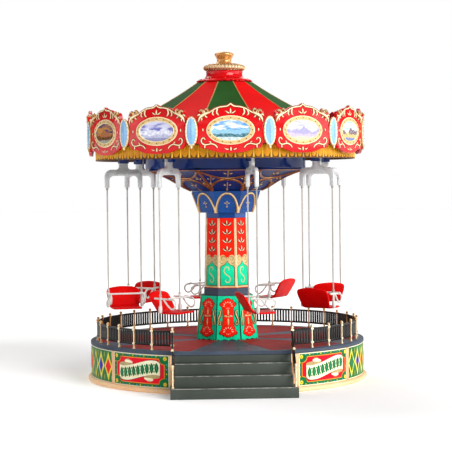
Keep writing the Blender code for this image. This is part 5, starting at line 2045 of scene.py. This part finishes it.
@dataclass
class Swings:
    """Eight seats that hang from forks, each drawn about its own arm."""

    count: int = TurningHead.arms
    first: float = TurningHead.first_arm
    radius: float = TurningHead.arm_radius
    pin_height: float = TurningHead.pin[1]
    pin_hole: float = 1.45
    thickness: float = 1.6
    leg: float = 15.2
    leg_half: float = 2.0
    leg_low: float = 175.6
    top_edge: float = 192.2
    low_edge: float = 186.5
    stem: float = 4.0
    bends: tuple[float, float, float] = (4.2, 6.4, 2.6)
    wire_low: float = 81.2
    wire: float = 0.65
    tube: float = 0.8
    lug: Line = (
        (0.0, 73.9), (1.0, 73.7), (1.6, 72.8), (1.75, 70.4), (1.6, 68.0), (1.0, 67.1), (0.0, 67.0),
    )
    lug_out: float = 15.7
    post: Line = ((0.0, 80.9), (1.2, 80.9), (1.2, 79.4), (1.0, 78.6), (1.0, 73.4), (0.0, 73.4))
    rest: Line = ((-6.2, 79.8), (3.0, 79.5), (13.2, 79.0))
    loop: Line = (
        (13.2, 79.0), (15.7, 76.4), (14.8, 72.4), (11.6, 70.9), (7.6, 73.6), (3.0, 79.2)
    )
    lap: Pair = (9.6, 79.9)
    shell: float = 1.8
    pan: Line = (
        (17.4, 67.4), (16.0, 66.9), (-1.2, 66.9), (-3.6, 67.9), (-5.0, 70.0), (-9.0, 76.9), (-13.8, 84.9),
    )
    half_widths: tuple[float, ...] = (12.6, 13.5, 13.5, 13.8, 14.0, 15.6, 15.4)
    columns: tuple[float, ...] = (-1.0, -0.86, -0.4, 0.0, 0.4, 0.86, 1.0)
    lifts: tuple[float, ...] = (-2.6, -0.5, 0.6, 1.0, 0.6, -0.5, -2.6)

    def fork(self) -> BMesh:
        """The flat fork with its round shoulders and the hole for the pin.

        Returns:
            The fork, about its pin.
        """
        outer, inner = self.leg + self.leg_half, self.leg - self.leg_half
        low, top, height, stem = self.low_edge, self.top_edge, self.pin_height, self.stem
        inside, shoulder, neck = self.bends
        half = [
            (0.0, low), *arc(inner - inside, low - inside, inside, 90, 0), (inner, self.leg_low),
            (outer, self.leg_low), *arc(outer - shoulder, top - shoulder, shoulder, 0, 90),
            *arc(stem + neck, top + neck, neck, -90, -180), *arc(0.0, height, stem, 0, 90),
        ]
        shape = rounded(plated(both_sides(half), self.thickness, self.thickness), 0.3)
        hole = rod(self.pin_hole, 5 * self.thickness, shifted(z=height) @ tipped(90))
        return carried(cut_away(shape, hole), tipped(90, "Z"))

    def wires(self) -> BMesh:
        """The two hanging wires, with a ferrule at each end.

        Returns:
            The wires and ferrules.
        """
        low, high, thin = self.wire_low, self.leg_low, self.wire
        line = [(0.0, high + 1.0), (thin, high + 1.0), (thin, high), (1.15, high - 0.1), (1.15, high - 1.8)]
        line += [(thin, high - 2.1), (thin, low + 2.2), (1.1, low + 1.9), (1.1, low + 0.1), (0.0, low)]
        return repeated(turned(line, 10), [shifted(y=y) for y in (-self.leg, self.leg)])

    def bar(self, path: Sequence[Sequence[float]], side: Sequence[float]) -> BMesh:
        """A round bar through points, squared up to a direction."""
        line = [Vector(spot) * MM for spot in path]
        return swept(line, [self.tube * MM] * len(line), [Vector(side)] * len(line), 8)

    def seat_frame(self) -> BMesh:
        """Lugs, posts, arm rests, side loops and the lap bar.

        Returns:
            The seat frame.
        """
        parts = []
        for sign in (-1, 1):
            y = sign * self.leg
            parts.append(carried(turned(self.lug, 12), shifted(y=sign * self.lug_out)))
            parts.append(carried(turned(self.post, 10), shifted(y=y)))
            for curve in (self.rest, self.loop):
                parts.append(self.bar([(x, y, z) for x, z in smooth(curve)], (0.0, 1.0, 0.0)))
        reach = self.leg + 1.8
        parts.append(self.bar([(self.lap[0], y, self.lap[1]) for y in (-reach, 0.0, reach)], (0.0, 0.0, 1.0)))
        return gathered(parts)

    def seat(self) -> BMesh:
        """The middle sheet of the bent seat shell.

        Returns:
            The sheet, one face thick.
        """
        rows, across = len(self.pan) - 1, len(self.columns) - 1
        shape = bmesh.new()
        bmesh.ops.create_grid(shape, x_segments=across, y_segments=rows, size=1.0)
        for vert in shape.verts:
            column = round((vert.co.x + 1.0) / 2 * across)
            row = round((vert.co.y + 1.0) / 2 * rows)
            forwards, height = self.pan[row]
            lift = self.lifts[column] if row == rows else 0.0
            y = self.columns[column] * self.half_widths[row]
            vert.co = Vector((forwards - 0.6 * lift, y, height + lift)) * MM
        bmesh.ops.recalc_face_normals(shape, faces=shape.faces)
        return shape

    def build(self) -> None:
        """Make the eight swings."""
        for k, stand in enumerate(around(self.count, self.radius, first=self.first), 1):
            for name, shape, paint, slot, *nodes in (
                (f"fork_{k}_plate", self.fork(), SILVER, "fork_paint", f"fork_{k}"),
                (f"fork_{k}_wires", self.wires(), WIRE, "fork_paint"),
                (f"seat_{k}_bars", self.seat_frame(), WHITE, "frame_paint", f"seat_frame_{k}"),
            ):
                finished(name, carried(shape, stand), paint, *nodes, body=f"swing_{k}", slot=slot)
            made = finished(
                f"seat_{k}_shell", carried(self.seat(), stand), SEAT_RED, f"seat_{k}", body=f"swing_{k}",
                slot="seat_plastic", crease=180.0,
            )
            wall = made.modifiers.new("wall", "SOLIDIFY")
            wall.thickness, wall.offset, wall.use_even_offset = self.shell * MM, 0.0, True
            soft = made.modifiers.new("soft", "SUBSURF")
            soft.levels = soft.render_levels = 2


@dataclass
class Studio:
    """The pale floor, the soft lights and the camera."""

    eye: tuple[float, float, float] = (-54.2, -1411.0, 180.3)
    heading: Pair = (0.03837, 0.99926)
    pitch: float = 1.667
    roll: float = -0.626
    lens: float = 121.69
    sensor: float = 36.0
    clip: Pair = (0.05, 50.0)
    floor_tones: tuple[str, str] = ("FBFAF9", "FFFFFF")
    areas: tuple[tuple, ...] = (
        ("side_box", (1500.0, -800.0, 330.0), 900.0, 3.0), ("fill", (-1100.0, -1100.0, 420.0), 700.0, 0.6),
        ("back", (300.0, 1200.0, 700.0), 700.0, 2.5), ("right_glare", (1500.0, -60.0, 315.0), 900.0, 7.0),
        ("left_glare", (-1500.0, -60.0, 315.0), 900.0, 4.5),
    )
    suns: tuple[tuple, ...] = (("soft_front", (0.8, -1.0, 0.75), 3.4), ("soft_back", (-0.5, 0.9, 1.1), 1.2))
    sun_angle: float = 40.0
    aim: float = 150.0
    ambient: float = 0.18
    floor_glow: float = 0.14

    def build_floor(self) -> None:
        """A wide floor of matt paper with the faintest change of tone."""
        shape = bmesh.new()
        bmesh.ops.create_grid(shape, x_segments=8, y_segments=8, size=8.0)
        made, tree = new_material("floor_paper")
        spot = tree.add("ShaderNodeTexCoord").outputs["Object"]
        tone = tree.blend(tree.noise(1.2, 1.0, spot), *(linear(code) for code in self.floor_tones))
        tree.surface({
            "Base Color": tone, "Roughness": 1.0, "Specular IOR Level": 0.0, "Emission Color": WHITE_LIGHT,
            "Emission Strength": self.floor_glow,
        })
        mesh = frozen(shape, "floor")
        mesh.materials.append(made)
        floor = bpy.data.objects.new("floor", mesh)
        bpy.context.scene.collection.objects.link(floor)

    def add_light(self, name: str, kind: str, spot: Vector, power: float, **settings: float) -> None:
        """A light that looks at the ride, with its own size or angle.

        Args:
            name: Its name.
            kind: AREA or SUN.
            spot: Its place.
            power: Its power.
            settings: Its own size or angle.
        """
        light = bpy.data.lights.new(name, kind)
        light.energy = power
        for setting, value in settings.items():
            setattr(light, setting, value)
        lamp = bpy.data.objects.new(name, light)
        lamp.location = spot
        lamp.rotation_euler = (Vector((0.0, 0.0, self.aim * MM)) - spot).to_track_quat("-Z", "Y").to_euler()
        bpy.context.scene.collection.objects.link(lamp)

    def build_lights(self) -> None:
        """Soft lights, and a world that looks white and lights the ride softly."""
        for name, spot, size, power in self.areas:
            self.add_light(name, "AREA", Vector(spot) * MM, power, size=size * MM)
        for name, spot, power in self.suns:
            self.add_light(name, "SUN", Vector(spot), power, angle=math.radians(self.sun_angle))
        world = bpy.data.worlds.new("studio")
        world.use_nodes = True
        tree = Tree(world.node_tree)
        seen = tree.add("ShaderNodeLightPath").outputs["Is Camera Ray"]
        strength = tree.spread(seen, 0.0, 1.0, self.ambient, 1.0)
        light = tree.add("ShaderNodeBackground", {"Color": WHITE_LIGHT, "Strength": strength})
        tree.add("ShaderNodeOutputWorld", {"Surface": light.outputs[0]})
        bpy.context.scene.world = world

    def build_camera(self) -> None:
        """The camera at the photograph's place."""
        data = bpy.data.cameras.new("photo_camera")
        data.lens, data.sensor_width, data.sensor_fit = self.lens, self.sensor, "HORIZONTAL"
        data.dof.use_dof = False
        data.clip_start, data.clip_end = self.clip
        camera = bpy.data.objects.new("photo_camera", data)
        drop = math.radians(self.pitch)
        look = Vector((*self.heading, 0.0)).normalized() * math.cos(drop) - Vector((0.0, 0.0, math.sin(drop)))
        turn = look.to_track_quat("-Z", "Y").to_matrix() @ Matrix.Rotation(math.radians(self.roll), 3, "Z")
        camera.matrix_world = shifted(*self.eye) @ turn.to_4x4()
        bpy.context.scene.collection.objects.link(camera)
        bpy.context.scene.camera = camera

    def build(self) -> None:
        """Make the studio."""
        self.build_floor()
        self.build_lights()
        self.build_camera()
        bpy.context.scene.view_settings.view_transform = "Standard"


def main() -> None:
    """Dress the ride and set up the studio."""
    logging.basicConfig(level=logging.INFO, format="%(message)s")
    for part in (
        Studio(), Base(), SidePanels(), Railings(), Column(), Capital(), TurningHead(), Crown(), Swings()
    ):
        LOG.info("building %s", type(part).__name__)
        part.build()


if __name__ == "__main__":
    main()
